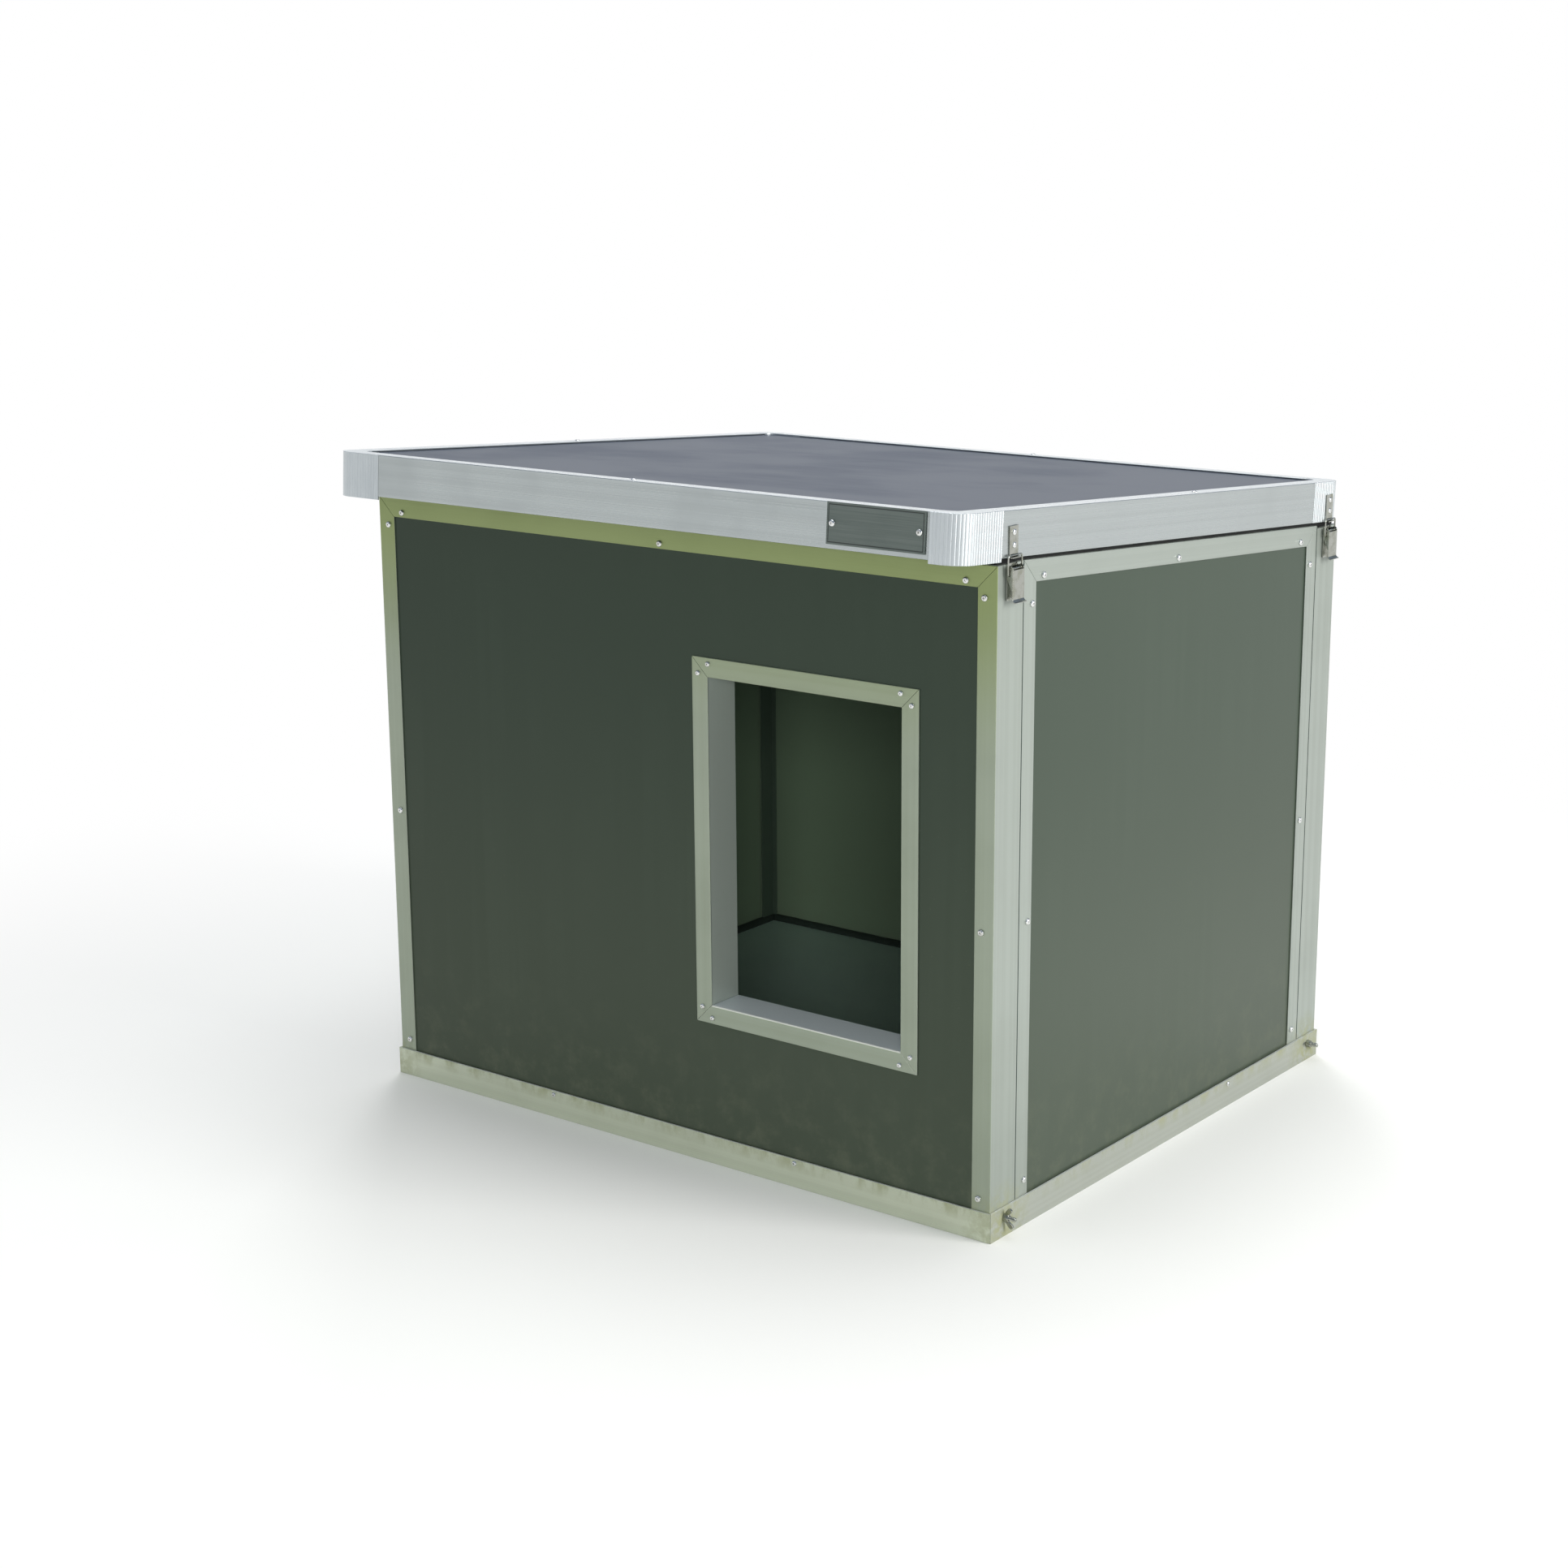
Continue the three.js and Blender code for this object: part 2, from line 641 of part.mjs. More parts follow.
// The bail is a wire loop whose bent-in ends turn in the lever's cheeks.
function latchBail() {
  const foot = bailFootBend;
  const top = crossbarHeight;
  const bottom = bailPivotZ;
  const leg = bailHalfWidth;
  const end = cheekInside + fitGap / 2;
  const route = [
    [-end, bottom],
    ...arc(-leg + foot, bottom + foot, foot, 270, 180, 2),
    ...arc(-leg + bailTopBend, top - bailTopBend, bailTopBend, 180, 90, 3),
    ...arc(leg - bailTopBend, top - bailTopBend, bailTopBend, 90, 0, 3),
    ...arc(leg - foot, bottom + foot, foot, 0, -90, 2),
    [end, bottom],
  ];
  return bentWire(bailX, route, wireRadius, 8);
}

// Turns a drawing to stand on the right or the left face of the house.
function sideMount(corner, z) {
  const group = new THREE.Group();
  group.position.set(corner.x * halfWidth, cornerY(corner), z);
  if (corner.x < 0) group.rotation.z = Math.PI;
  house.add(group);
  return group;
}

const latchParts = {
  catch: latchCatch(),
  base: latchBase(),
  lever: latchLever(),
  bail: latchBail(),
};
for (const corner of corners) {
  const latch = sideMount(corner, roofUnderside(cornerY(corner)));
  for (const [part, solid] of Object.entries(latchParts)) {
    latch.add(piece(`latch_${part}_${corner.name}`, solid, stainless));
  }
}

// ---------------------------------------------------------------------------
// Studs and wing nuts at the foot of each corner, drawn with x outwards along the stud
// ---------------------------------------------------------------------------

function wingNut() {
  const seat = fitGap + angleThickness + fitGap;
  const hub = new THREE.CylinderGeometry(
    nutHubTaper * nutHubRadius, nutHubRadius, nutHubLength, roundSides,
  );
  hub.rotateZ(-Math.PI / 2);
  hub.translate(seat + nutHubLength / 2, 0, 0);
  const root = seat + nutWingInset;
  const hubEnd = seat + nutHubLength - nutWingInset;
  const wingOutline = [
    [root, 0],
    [root, nutHubRadius],
    ...nutWingShape.map(([out, across]) => [seat + out * nutWingHeight, across * nutWingReach]),
    [hubEnd, nutHubTaper * nutHubRadius],
    [hubEnd, 0],
  ];
  const otherWing = wingOutline.map(([x, z]) => [x, -z]);
  const wing = (outline) => prism('xz', outline, -nutWingThickness / 2, nutWingThickness / 2);
  const bore = bar('x', studRadius + fitGap, 0, studOutside + cutOver);
  return solidFrom(hub).add(wing(wingOutline)).add(wing(otherWing)).subtract(bore);
}

const nutTurns = { front_right: 8, rear_right: 62, rear_left: 20, front_left: -35 };
const nutSolid = wingNut();
const studSolid = bar('x', studRadius, -studInside, studOutside);
for (const corner of corners) {
  const foot = sideMount(corner, studHeight);
  foot.add(piece(`base_stud_${corner.name}`, studSolid, stainless));
  const nut = piece(`wing_nut_${corner.name}`, nutSolid, stainless);
  nut.rotation.x = THREE.MathUtils.degToRad(nutTurns[corner.name]);
  foot.add(nut);
}

// ---------------------------------------------------------------------------
// The origin is under the middle of the whole house
// ---------------------------------------------------------------------------

const extent = new THREE.Box3().setFromObject(house);
const middle = extent.getCenter(new THREE.Vector3());
house.position.set(-middle.x, -middle.y, -extent.min.z);

const group = new THREE.Group();
group.add(house);

export default group;
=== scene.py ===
# %% [markdown]
# # An insulated dog house in aluminium profiles
# The real house is a kit: dark laminate sandwich panels slide into aluminium U-profiles, the
# walls stand in a tray of angles, and a sloping roof sits on a rubber seal, held by toggle
# latches. The imported model has all of these pieces in place, so it is loaded first, and
# everything here is fitted to it.

# %% Load the imported house
import json
from math import cos, pi, radians, sin, tan

import bmesh
import bpy
from mathutils import Matrix, Vector

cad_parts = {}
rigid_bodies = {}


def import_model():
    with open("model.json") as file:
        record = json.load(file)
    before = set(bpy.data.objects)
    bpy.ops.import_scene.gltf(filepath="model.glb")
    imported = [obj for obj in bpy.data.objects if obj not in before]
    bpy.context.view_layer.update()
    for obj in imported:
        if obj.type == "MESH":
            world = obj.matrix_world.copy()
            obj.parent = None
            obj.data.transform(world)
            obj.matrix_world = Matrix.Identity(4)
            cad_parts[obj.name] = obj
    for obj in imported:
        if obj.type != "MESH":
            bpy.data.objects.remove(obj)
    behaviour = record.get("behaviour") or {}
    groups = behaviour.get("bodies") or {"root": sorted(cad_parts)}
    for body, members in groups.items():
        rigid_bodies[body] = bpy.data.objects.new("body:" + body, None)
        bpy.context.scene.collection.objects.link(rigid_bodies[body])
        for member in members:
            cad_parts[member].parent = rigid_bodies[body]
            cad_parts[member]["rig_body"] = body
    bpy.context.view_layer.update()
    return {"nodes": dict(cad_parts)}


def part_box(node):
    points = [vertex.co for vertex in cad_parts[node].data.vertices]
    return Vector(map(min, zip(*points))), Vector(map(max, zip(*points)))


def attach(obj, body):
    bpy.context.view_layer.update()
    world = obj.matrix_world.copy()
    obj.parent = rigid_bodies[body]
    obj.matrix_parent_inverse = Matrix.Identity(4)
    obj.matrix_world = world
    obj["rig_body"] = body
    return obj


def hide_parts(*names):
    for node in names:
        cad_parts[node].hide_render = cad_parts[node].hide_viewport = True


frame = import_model()
millimetre = 0.001

# %% [markdown]
# ## The camera
# The camera stands where the straight edges of the walls, the roof and the doorway all agree
# with the picture. It could be aimed with a Track To constraint, but a hand-held camera is
# also rolled a little, so its three axes are worked out from a heading, a tilt and a roll.

# %% Camera
camera_place = (2.1861, -2.9481, 1.3377)
heading, tilt, roll = (radians(angle) for angle in (127.92, -14.05, -0.399))
forward = Vector((cos(tilt) * cos(heading), cos(tilt) * sin(heading), sin(tilt)))
level = Vector((sin(heading), -cos(heading), 0.0))
above = level.cross(forward)
right = level * cos(roll) + above * sin(roll)
up = above * cos(roll) - level * sin(roll)
aim = Matrix((right, up, -forward)).transposed().to_4x4()
camera = bpy.data.objects.new("camera", bpy.data.cameras.new("camera"))
camera.data.lens = 62.60
camera.matrix_world = Matrix.Translation(camera_place) @ aim
shown = bpy.context.scene.collection.objects
shown.link(camera)
bpy.context.scene.camera = camera
bpy.context.scene.view_settings.view_transform = "Standard"
print("camera distance:", round(camera.matrix_world.translation.length, 2), "m")

# %% [markdown]
# ## Helpers for node trees
# Adding a node, setting its options and filling its sockets in one call keeps each recipe
# short. Effects that several finishes share become node groups. They put out only masks and
# heights, so each finish decides what they do to its colour, its gloss and its relief.

# %% Node helpers
linkable = (bpy.types.Node, bpy.types.NodeSocket)


def fill(node, sockets):
    """Gives each socket a value, or a link to a socket or to a node's first output."""
    for key, value in sockets.items():
        if isinstance(value, linkable):
            source = value.outputs[0] if isinstance(value, bpy.types.Node) else value
            node.id_data.links.new(source, node.inputs[key])
        else:
            node.inputs[key].default_value = value


def place(kind, sockets, tree=None, **settings):
    """A new node, set up and filled, in the tree of what its sockets are linked to."""
    linked = (value for value in sockets.values() if isinstance(value, linkable))
    made = (tree or next(linked).id_data).nodes.new(kind)
    for name, value in settings.items():
        setattr(made, name, value)
    fill(made, sockets)
    return made


def new_group(name, tree_kind, inputs, outputs):
    """A node group with named sockets: what it is given, and its output node."""
    tree = bpy.data.node_groups.new(name, tree_kind)
    for label, kind, *start in inputs:
        socket = tree.interface.new_socket(
            label, in_out="INPUT", socket_type="NodeSocket" + kind)
        if start:
            socket.default_value = start[0]
    for label, kind in outputs:
        tree.interface.new_socket(label, in_out="OUTPUT", socket_type="NodeSocket" + kind)
    return tree.nodes.new("NodeGroupInput").outputs, tree.nodes.new("NodeGroupOutput")


def mask_group(name, numbers, *masks):
    """A shader group: its vector, what else it is given, and its output node for masks."""
    inputs = [("Vector", "Vector")]
    inputs += [(label, "Float", start) for label, start in numbers.items()]
    outputs = [(label, "Float") for label in masks]
    given, result = new_group(name, "ShaderNodeTree", inputs, outputs)
    return given["Vector"], given, result


# %% Helpers for single nodes
def maths(operation, first, second, clamp=False):
    return place("ShaderNodeMath", {0: first, 1: second}, operation=operation, use_clamp=clamp)


def times(first, second):
    return maths("MULTIPLY", first, second)


def vectors(operation, *given):
    """The result of a Vector Math node: a number for a distance, otherwise a vector."""
    made = place("ShaderNodeVectorMath", dict(enumerate(given)), operation=operation)
    return made.outputs["Value" if operation == "DISTANCE" else "Vector"]


def component(vector, axis):
    return place("ShaderNodeSeparateXYZ", {0: vector}).outputs[axis]


def stretch(vector, scale):
    return place("ShaderNodeMapping", {"Vector": vector, "Scale": scale})


def ramp(value, low, high, to_low=0.0, to_high=1.0, smooth=True):
    """A value's range from low to high, turned into another range and clamped."""
    return place("ShaderNodeMapRange", dict(enumerate((value, low, high, to_low, to_high))),
                 interpolation_type="SMOOTHSTEP" if smooth else "LINEAR")


def noise(vector, scale, detail=2.0, roughness=0.5):
    return place("ShaderNodeTexNoise", {
        "Vector": vector, "Scale": scale, "Detail": detail, "Roughness": roughness})


def tint(mask, *colours):
    """One colour turning into another where a mask is white."""
    made = place("ShaderNodeMix", {"Factor": mask}, data_type="RGBA")
    for index, colour in zip((6, 7), colours):
        fill(made, {index: colour if isinstance(colour, linkable) else (*colour, 1.0)})
    return made.outputs[2]


# %% [markdown]
# ## Shared surface effects
# Extruded aluminium comes out of its die with fine lines along its length. Everything that
# stands outside gathers fingermarks, specks of dust and, near the ground, splashed soil. Long
# wiping streaks show on large glossy sheets. Each of these is one small group of noises, and
# each finish stretches the lines along its own direction.

# %% Drawn lines and wipe streaks
at, given, result = mask_group(
    "drawn_lines", {"Fine Scale": 1.0, "Band Scale": 0.16}, "Fine", "Bands")
fine = noise(at, given["Fine Scale"], 3.0, 0.65)
bands = noise(at, given["Band Scale"], 2.0, 0.55)
fill(result, {"Fine": ramp(fine, 0.3, 0.7), "Bands": ramp(bands, 0.38, 0.64)})

# %% Handling marks and dust specks
at, given, result = mask_group(
    "weathering", {"Smudge Scale": 7.0, "Speck Scale": 170.0, "Speck Size": 0.11},
    "Smudges", "Specks")
patches = noise(at, given["Smudge Scale"], 4.0, 0.5)
cells = place("ShaderNodeTexVoronoi", {"Vector": at, "Scale": given["Speck Scale"]})
specks = ramp(cells, given["Speck Size"], times(given["Speck Size"], 0.5), smooth=False)
where = ramp(patches, 0.5, 0.6)
fill(result, {"Smudges": ramp(patches, 0.4, 0.76), "Specks": times(specks, where)})

# %% Soil splashed up from the ground
at, given, result = mask_group("ground_splash", {"Height": 0.12}, "Soil")
fade = ramp(component(at, "Z"), given["Height"], 0.0, smooth=False)
blotch = ramp(noise(at, 26.0, 6.0, 0.7), 0.44, 0.72)
fill(result, {"Soil": times(blotch, fade)})

# %% Stains that run down from an upper edge
at, given, result = mask_group("edge_stains", {"Height": 0.038, "Reach": 0.019}, "Soil")
height = component(at, "Z")
lowest_stain = maths("SUBTRACT", given["Height"], given["Reach"])
fade = ramp(height, lowest_stain, given["Height"], smooth=False)
downwards = stretch(at, (42.0, 42.0, 22.0))
runs = ramp(noise(downwards, 1.0, 5.0, 0.66), 0.42, 0.68)
below_edge = maths("LESS_THAN", height, maths("SUBTRACT", given["Height"], 0.0006))
fill(result, {"Soil": times(times(runs, fade), below_edge)})

# %% Painted shade and green painted reflection on the front, strongest under the eaves
at, _, result = mask_group("eaves_film", {}, "Painted Shade And Reflection")
front_flange_y = -0.3862
on_front = maths("LESS_THAN", component(at, "Y"), front_flange_y)
painted_shade_strength = ramp(component(at, "Z"), 0.56, 0.82, 0.25, 0.9)
fill(result, {"Painted Shade And Reflection": times(on_front, painted_shade_strength)})

# %% Grime that stays round the studs
walls_middle = (0.0, 0.0332, 0.0)
studs_middle = (0.0, 0.0332, 0.016)
stud_place = (0.508, 0.3927, 0.0)
at, given, result = mask_group("fixing_grime", {"Reach": 0.06}, "Grime")
one_quarter = vectors("ABSOLUTE", vectors("SUBTRACT", at, studs_middle))
gap = vectors("DISTANCE", one_quarter, stud_place)
near = ramp(gap, given["Reach"], 0.012, smooth=False)
crust = ramp(noise(at, 90.0, 5.0, 0.65), 0.36, 0.58)
fill(result, {"Grime": times(crust, near)})

# %% Which faces look into the room
room_half_width, room_half_depth = 0.4727, 0.3927
at, _, result = mask_group("room_faces", {}, "Inside")
one_quarter = vectors("ABSOLUTE", vectors("SUBTRACT", at, walls_middle))
in_width = maths("LESS_THAN", component(one_quarter, "X"), room_half_width)
in_depth = maths("LESS_THAN", component(one_quarter, "Y"), room_half_depth)
fill(result, {"Inside": times(in_width, in_depth)})

# %% Slow waves of a pressed sheet
at, given, result = mask_group(
    "sheet_waves", {"Wave Scale": 3.5, "Peel Scale": 420.0, "Peel Share": 0.012}, "Height")
waves = noise(at, given["Wave Scale"], 1.0, 0.4)
peel = times(noise(at, given["Peel Scale"], 1.0), given["Peel Share"])
fill(result, {"Height": maths("ADD", waves, peel)})
print("shared effects:", [group.name for group in bpy.data.node_groups])

# %% [markdown]
# ## Natural aluminium
# The profiles are extruded aluminium, left natural: a soft grey sheen with lines along each
# length, also where a profile falls four degrees to the rear. So one recipe is turned and
# stretched for each direction. The metal is a little less than fully metallic, as a thin oxide
# film scatters some light, and soil covers it near the ground.
#
# Each profile's colour changes by where it sits. Stains run down from the base's upper edge.
# The rest is painted light: on the front, a green painted reflection and painted shade that grow
# towards the eaves; faces that look up painted lighter, as if lit by the sky; the doorway's
# lining painted lighter behind its flange; and a painted highlight on the sill's front edge.
# Painting would tie this to one mesh, so masks of height, depth and facing lay it over the
# metal.

# %% Aluminium recipe
roof_slope = radians(4)
soil_colour = (0.36, 0.37, 0.20)
speck_colour = (0.30, 0.29, 0.22)


def emptied(owner):
    """The node tree of a material or a world, without its nodes."""
    owner.use_nodes = True
    owner.node_tree.nodes.clear()
    return owner.node_tree


def new_finish(name):
    """A material: its shader, and the Object coordinates."""
    material = bpy.data.materials.new(name)
    tree = emptied(material)
    shader = tree.nodes.new("ShaderNodeBsdfPrincipled")
    place("ShaderNodeOutputMaterial", {"Surface": shader})
    return material, shader, tree.nodes.new("ShaderNodeTexCoord").outputs["Object"]


def shared(group, vector, **numbers):
    """What a shared group puts out in a finish that gives it its own numbers."""
    made = place("ShaderNodeGroup", {"Vector": vector}, node_tree=bpy.data.node_groups[group])
    fill(made, {name.replace("_", " "): value for name, value in numbers.items()})
    return made.outputs


def relief(height, strength, distance):
    return place("ShaderNodeBump", {
        "Height": height, "Strength": strength, "Distance": distance})


def aluminium(name, stretches, look, others=(), slope=0.0):
    """Drawn aluminium with its lines along the direction that is stretched least.

    Others are masks, each with the colour and the metal share that the finish has there.
    """
    material, shader, at = new_finish(name)
    turned = place("ShaderNodeVectorRotate", {"Vector": at, "Angle": slope},
                   rotation_type="X_AXIS")
    lines = shared("drawn_lines", stretch(turned, stretches))
    marks = shared("weathering", at, Smudge_Scale=9.0)
    height, stain = look["stain"]
    stained = shared(stain, at, Height=height)["Soil"]
    soil = maths("MAXIMUM", stained, shared("fixing_grime", at)["Grime"])
    smudged = times(marks["Smudges"], 0.35)
    dulled = maths("ADD", times(lines["Bands"], 0.35), smudged, clamp=True)
    metal, metal_share = tint(dulled, look["bright"], look["dull"]), look["metal"]
    for mask, other_colour, other_share in others:
        there = mask(at)
        metal = tint(there, metal, other_colour)
        metal_share = ramp(there, 0.0, 1.0, metal_share, other_share)
    # On the front, olive that grows towards the eaves: a green painted reflection and painted
    # shade.
    if look.get("tint_colour"):
        metal = tint(shared("eaves_film", at)["Painted Shade And Reflection"], metal, look["tint_colour"])
    specked = tint(times(marks["Specks"], 0.4), metal, speck_colour)
    polish = ramp(lines["Fine"], 0.0, 1.0, *look["rough"], smooth=False)
    gloss = maths("ADD", polish, times(soil, 0.35))
    fill(shader, {
        "Base Color": tint(times(soil, 0.8), specked, soil_colour),
        "Metallic": ramp(soil, 0.0, 1.0, metal_share, 0.1),
        "Roughness": maths("ADD", gloss, times(smudged, 0.2)),
        "Normal": relief(lines["Fine"], look["lines"], 0.00006),
    })
    return material


# %% Masks of place and facing
def behind_the_front(at):
    """Faces that line the doorway, behind the front flange."""
    return maths("GREATER_THAN", component(at, "Y"), -0.3850)


def facing_up(at):
    """Faces that look at the sky."""
    return ramp(component(at.node.outputs["Normal"], "Z"), 0.90, 0.97)


def front_edge(at):
    """The round between the front and the top of a piece."""
    normal = at.node.outputs["Normal"]
    return ramp(times(component(normal, "Y"), component(normal, "Z")), -0.03, -0.16)


# Painted light: faces that look up are lighter, as if lit by the sky.
upward_faces_painted_light = (facing_up, (0.700, 0.720, 0.710), 0.35)
upward_faces_painted_sky_reflection = (facing_up, (0.860, 0.880, 0.870), 0.35)
# Painted light: the doorway's lining is lighter behind its flange, the sill and head bluish.
bluish_lining_painted_light = (behind_the_front, (0.74, 0.80, 0.84), 0.12)
jamb_lining_painted_light = (behind_the_front, (0.56, 0.61, 0.57), 0.3)
# Painted highlight along the sill's front edge.
sill_edge_painted_highlight = (front_edge, (0.97, 0.97, 0.96), 0.1)

# %% Aluminium finishes
# Natural's tint colour is the olive of the front's painted reflection and painted shade.
natural = {"bright": (0.385, 0.425, 0.390), "dull": (0.320, 0.352, 0.318), "metal": 0.52,
           "rough": (0.34, 0.44), "lines": 0.22, "stain": (0.075, "ground_splash"),
           "tint_colour": (0.265, 0.322, 0.115)}
weathered = {"bright": (0.450, 0.475, 0.430), "dull": (0.385, 0.400, 0.355), "metal": 0.50,
             "rough": (0.38, 0.48), "lines": 0.22, "stain": (0.038, "edge_stains")}
# The base angles along the front and rear are a lighter, yellower copy: painted light.
base_painted_light = dict(weathered, bright=(0.650, 0.690, 0.560), dull=(0.560, 0.590, 0.470), metal=0.62)
roof_edge = dict(natural, bright=(0.470, 0.507, 0.507), dull=(0.397, 0.428, 0.428),
                 metal=0.88, rough=(0.24, 0.32), lines=0.10, tint_colour=None)
ribbed = dict(roof_edge, bright=(0.610, 0.650, 0.665), dull=(0.540, 0.577, 0.592),
              rough=(0.30, 0.38), lines=0.04)
finely, along = 760.0, 1.0
lines_x, lines_y = (along, finely, finely), (finely, along, finely)
lines_z, rib_lines = (finely, finely, along), (400.0, 400.0, 0.2)
aluminium_x = aluminium("aluminium_lengthwise_x", lines_x, natural)
aluminium_z = aluminium("aluminium_upright", lines_z, natural)
aluminium_slope = aluminium("aluminium_down_the_slope", lines_y, natural, (), roof_slope)
door_head = aluminium("door_trim_lengthwise_x", lines_x, natural, [bluish_lining_painted_light])
door_sill = aluminium("door_sill", lines_x, natural, [bluish_lining_painted_light, sill_edge_painted_highlight])
door_jamb = aluminium("door_trim_upright", lines_z, natural, [jamb_lining_painted_light])
base_x = aluminium("base_lengthwise_x", lines_x, base_painted_light, [upward_faces_painted_light])
base_y = aluminium("base_lengthwise_y", lines_y, weathered, [upward_faces_painted_light])
roof_edge_x = aluminium("roof_edge_lengthwise_x", lines_x, roof_edge, [upward_faces_painted_sky_reflection])
roof_edge_slope = aluminium(
    "roof_edge_down_the_slope", lines_y, roof_edge, [upward_faces_painted_sky_reflection], roof_slope)
ribbed_aluminium = aluminium("aluminium_ribbed", rib_lines, ribbed, [upward_faces_painted_sky_reflection])
print("last aluminium finish:", ribbed_aluminium.name)

# %% [markdown]
# ## Laminate panels
# The walls are faced with a satin dark green-grey laminate, the roof with a glossier blue-grey
# one. A pressed sheet is never quite flat, so reflections on it bend slowly, and a very faint
# peel breaks them up close by. Rain leaves upright runs on the walls and long faint wipe
# streaks across the roof, and dust settles low on the walls; as it lightens them low down, it
# also leaves them darker towards the eaves, painted shade. A clear coat could carry the gloss,
# but a plain dielectric with varied roughness gives it too. The front sheet is darker still:
# painted shade of the eaves. The faces inside and the floor are painted much lighter: painted
# light in place of the light the room lacks.

# %% Laminate recipe
def laminate(name, base, streak, look, specular, low_dust_and_painted_shade=0.0):
    """A pressed sheet with streaks, dust specks, and a film that thins upwards: dust, painted
    shade.
    """
    material, shader, at = new_finish(name)
    streaks = shared("drawn_lines", stretch(at, look["streaks"]),
                     Fine_Scale=3.0, Band_Scale=1.0)
    marks = shared("weathering", at, Smudge_Scale=4.0, Speck_Scale=110.0, Speck_Size=0.07)
    soil = shared("ground_splash", at, Height=look["soil"])["Soil"]
    runs = times(streaks["Bands"], marks["Smudges"])
    sheet = tint(times(runs, 0.35), base, streak)
    # The room's faces take a much lighter colour: painted light.
    if "room_painted_light" in look:
        inside = shared("room_faces", at)["Inside"]
        sheet = tint(inside, sheet, look["room_painted_light"])
    sheet = tint(times(marks["Specks"], 0.3), sheet, look["dust"])
    # Dust settles low; lightening the bottom also leaves the top darker, painted shade.
    if low_dust_and_painted_shade:
        settled = ramp(component(at, "Z"), 0.75, 0.03, 0.0, low_dust_and_painted_shade)
        sheet = tint(settled, sheet, look["dust"])
    gloss = ramp(marks["Smudges"], 0.0, 1.0, *look["rough"])
    waves = shared("sheet_waves", at)["Height"]
    fill(shader, {
        "Base Color": tint(times(soil, 0.3), sheet, look["dust"]),
        "Roughness": maths("ADD", gloss, times(soil, 0.15)),
        "Specular IOR Level": specular,
        "Normal": relief(waves, 0.35, look["waves"]),
    })
    return material


# %% Laminate finishes
wall_look = {"dust": (0.20, 0.21, 0.15), "room_painted_light": (0.207, 0.286, 0.202), "rough": (0.28, 0.33),
             "streaks": (38.0, 38.0, 1.6), "waves": 0.003, "soil": 0.2}
roof_look = {"dust": (0.26, 0.27, 0.28), "rough": (0.31, 0.37),
             "streaks": (1.2, 34.0, 34.0), "waves": 0.0005, "soil": 0.001}
floor_look = {"dust": (0.38, 0.39, 0.31), "rough": (0.34, 0.55),
              "streaks": (3.0, 12.0, 12.0), "waves": 0.003, "soil": 0.001}
wall_laminate = laminate(
    "wall_laminate", (0.057, 0.079, 0.059), (0.071, 0.095, 0.074), wall_look, 0.2, 0.12)
# The front sheet is darker than the others: painted shade of the eaves.
front_painted_shade_laminate = laminate(
    "front_wall_painted_shade_laminate", (0.046, 0.064, 0.048), (0.060, 0.081, 0.062), wall_look, 0.15, 0.16)
roof_laminate = laminate(
    "roof_laminate", (0.052, 0.062, 0.086), (0.11, 0.122, 0.145), roof_look, 0.23)
# The floor is painted much lighter than the walls' laminate: painted light for the dim room.
floor_laminate = laminate(
    "floor_laminate", (0.425, 0.565, 0.520), (0.480, 0.620, 0.575), floor_look, 0.40)

# %% [markdown]
# ## Rubber, sealant, steel and the plate
# The seal under the roof is matt black cellular rubber. Joints are closed with a dark sealant,
# and dark strips darken the inside corners. Latches, wing nuts and screws are bright steel,
# where small dents and a film of fingermarks break up the mirror; the stainless is painted
# darker and olive, a painted reflection of green surroundings. The name plate stays blank: a
# satin dark grey metal with a darker engraved border, which follows the plate's own map from
# edge to edge.

# %% Rubber and sealant
def soft_black(name, colour, worn, rough, grain_scale, depth):
    material, shader, at = new_finish(name)
    grain = noise(at, grain_scale, 4.0, 0.6)
    smudges = shared("weathering", at, Smudge_Scale=20.0)["Smudges"]
    fill(shader, {
        "Base Color": tint(times(smudges, 0.6), colour, worn),
        "Roughness": ramp(grain, 0.3, 0.7, rough - 0.12, rough),
        "Specular IOR Level": 0.25,
        "Normal": relief(grain, 0.6, depth),
    })
    return material


seal_rubber = soft_black(
    "seal_rubber", (0.011, 0.012, 0.012), (0.030, 0.031, 0.029), 0.86, 900.0, 0.0002)
sealant = soft_black(
    "sealant", (0.032, 0.046, 0.040), (0.046, 0.060, 0.052), 0.66, 160.0, 0.0006)
# A dark finish for the strips that darken the inside corners.
dark_corner_strip_finish = soft_black(
    "corner_strips", (0.085, 0.122, 0.095), (0.100, 0.138, 0.107), 0.60, 160.0, 0.0003)


# %% Bright steel
def bright_steel(name, bright, tint_colour, rough):
    material, shader, at = new_finish(name)
    smudges = shared("weathering", at, Smudge_Scale=90.0)["Smudges"]
    fill(shader, {
        "Base Color": tint(smudges, bright, tint_colour),
        "Roughness": ramp(smudges, 0.0, 1.0, rough, rough + 0.16),
        "Metallic": 1.0,
        "Normal": relief(noise(at, 330.0, 2.0), 0.2, 0.0002),
    })
    return material


# The stainless is darkened and tinted olive: a painted reflection of green surroundings.
steel = bright_steel("stainless_steel", (0.42, 0.43, 0.39), (0.28, 0.29, 0.23), 0.16)
plated_steel = bright_steel("plated_screws", (0.80, 0.81, 0.80), (0.62, 0.62, 0.58), 0.20)

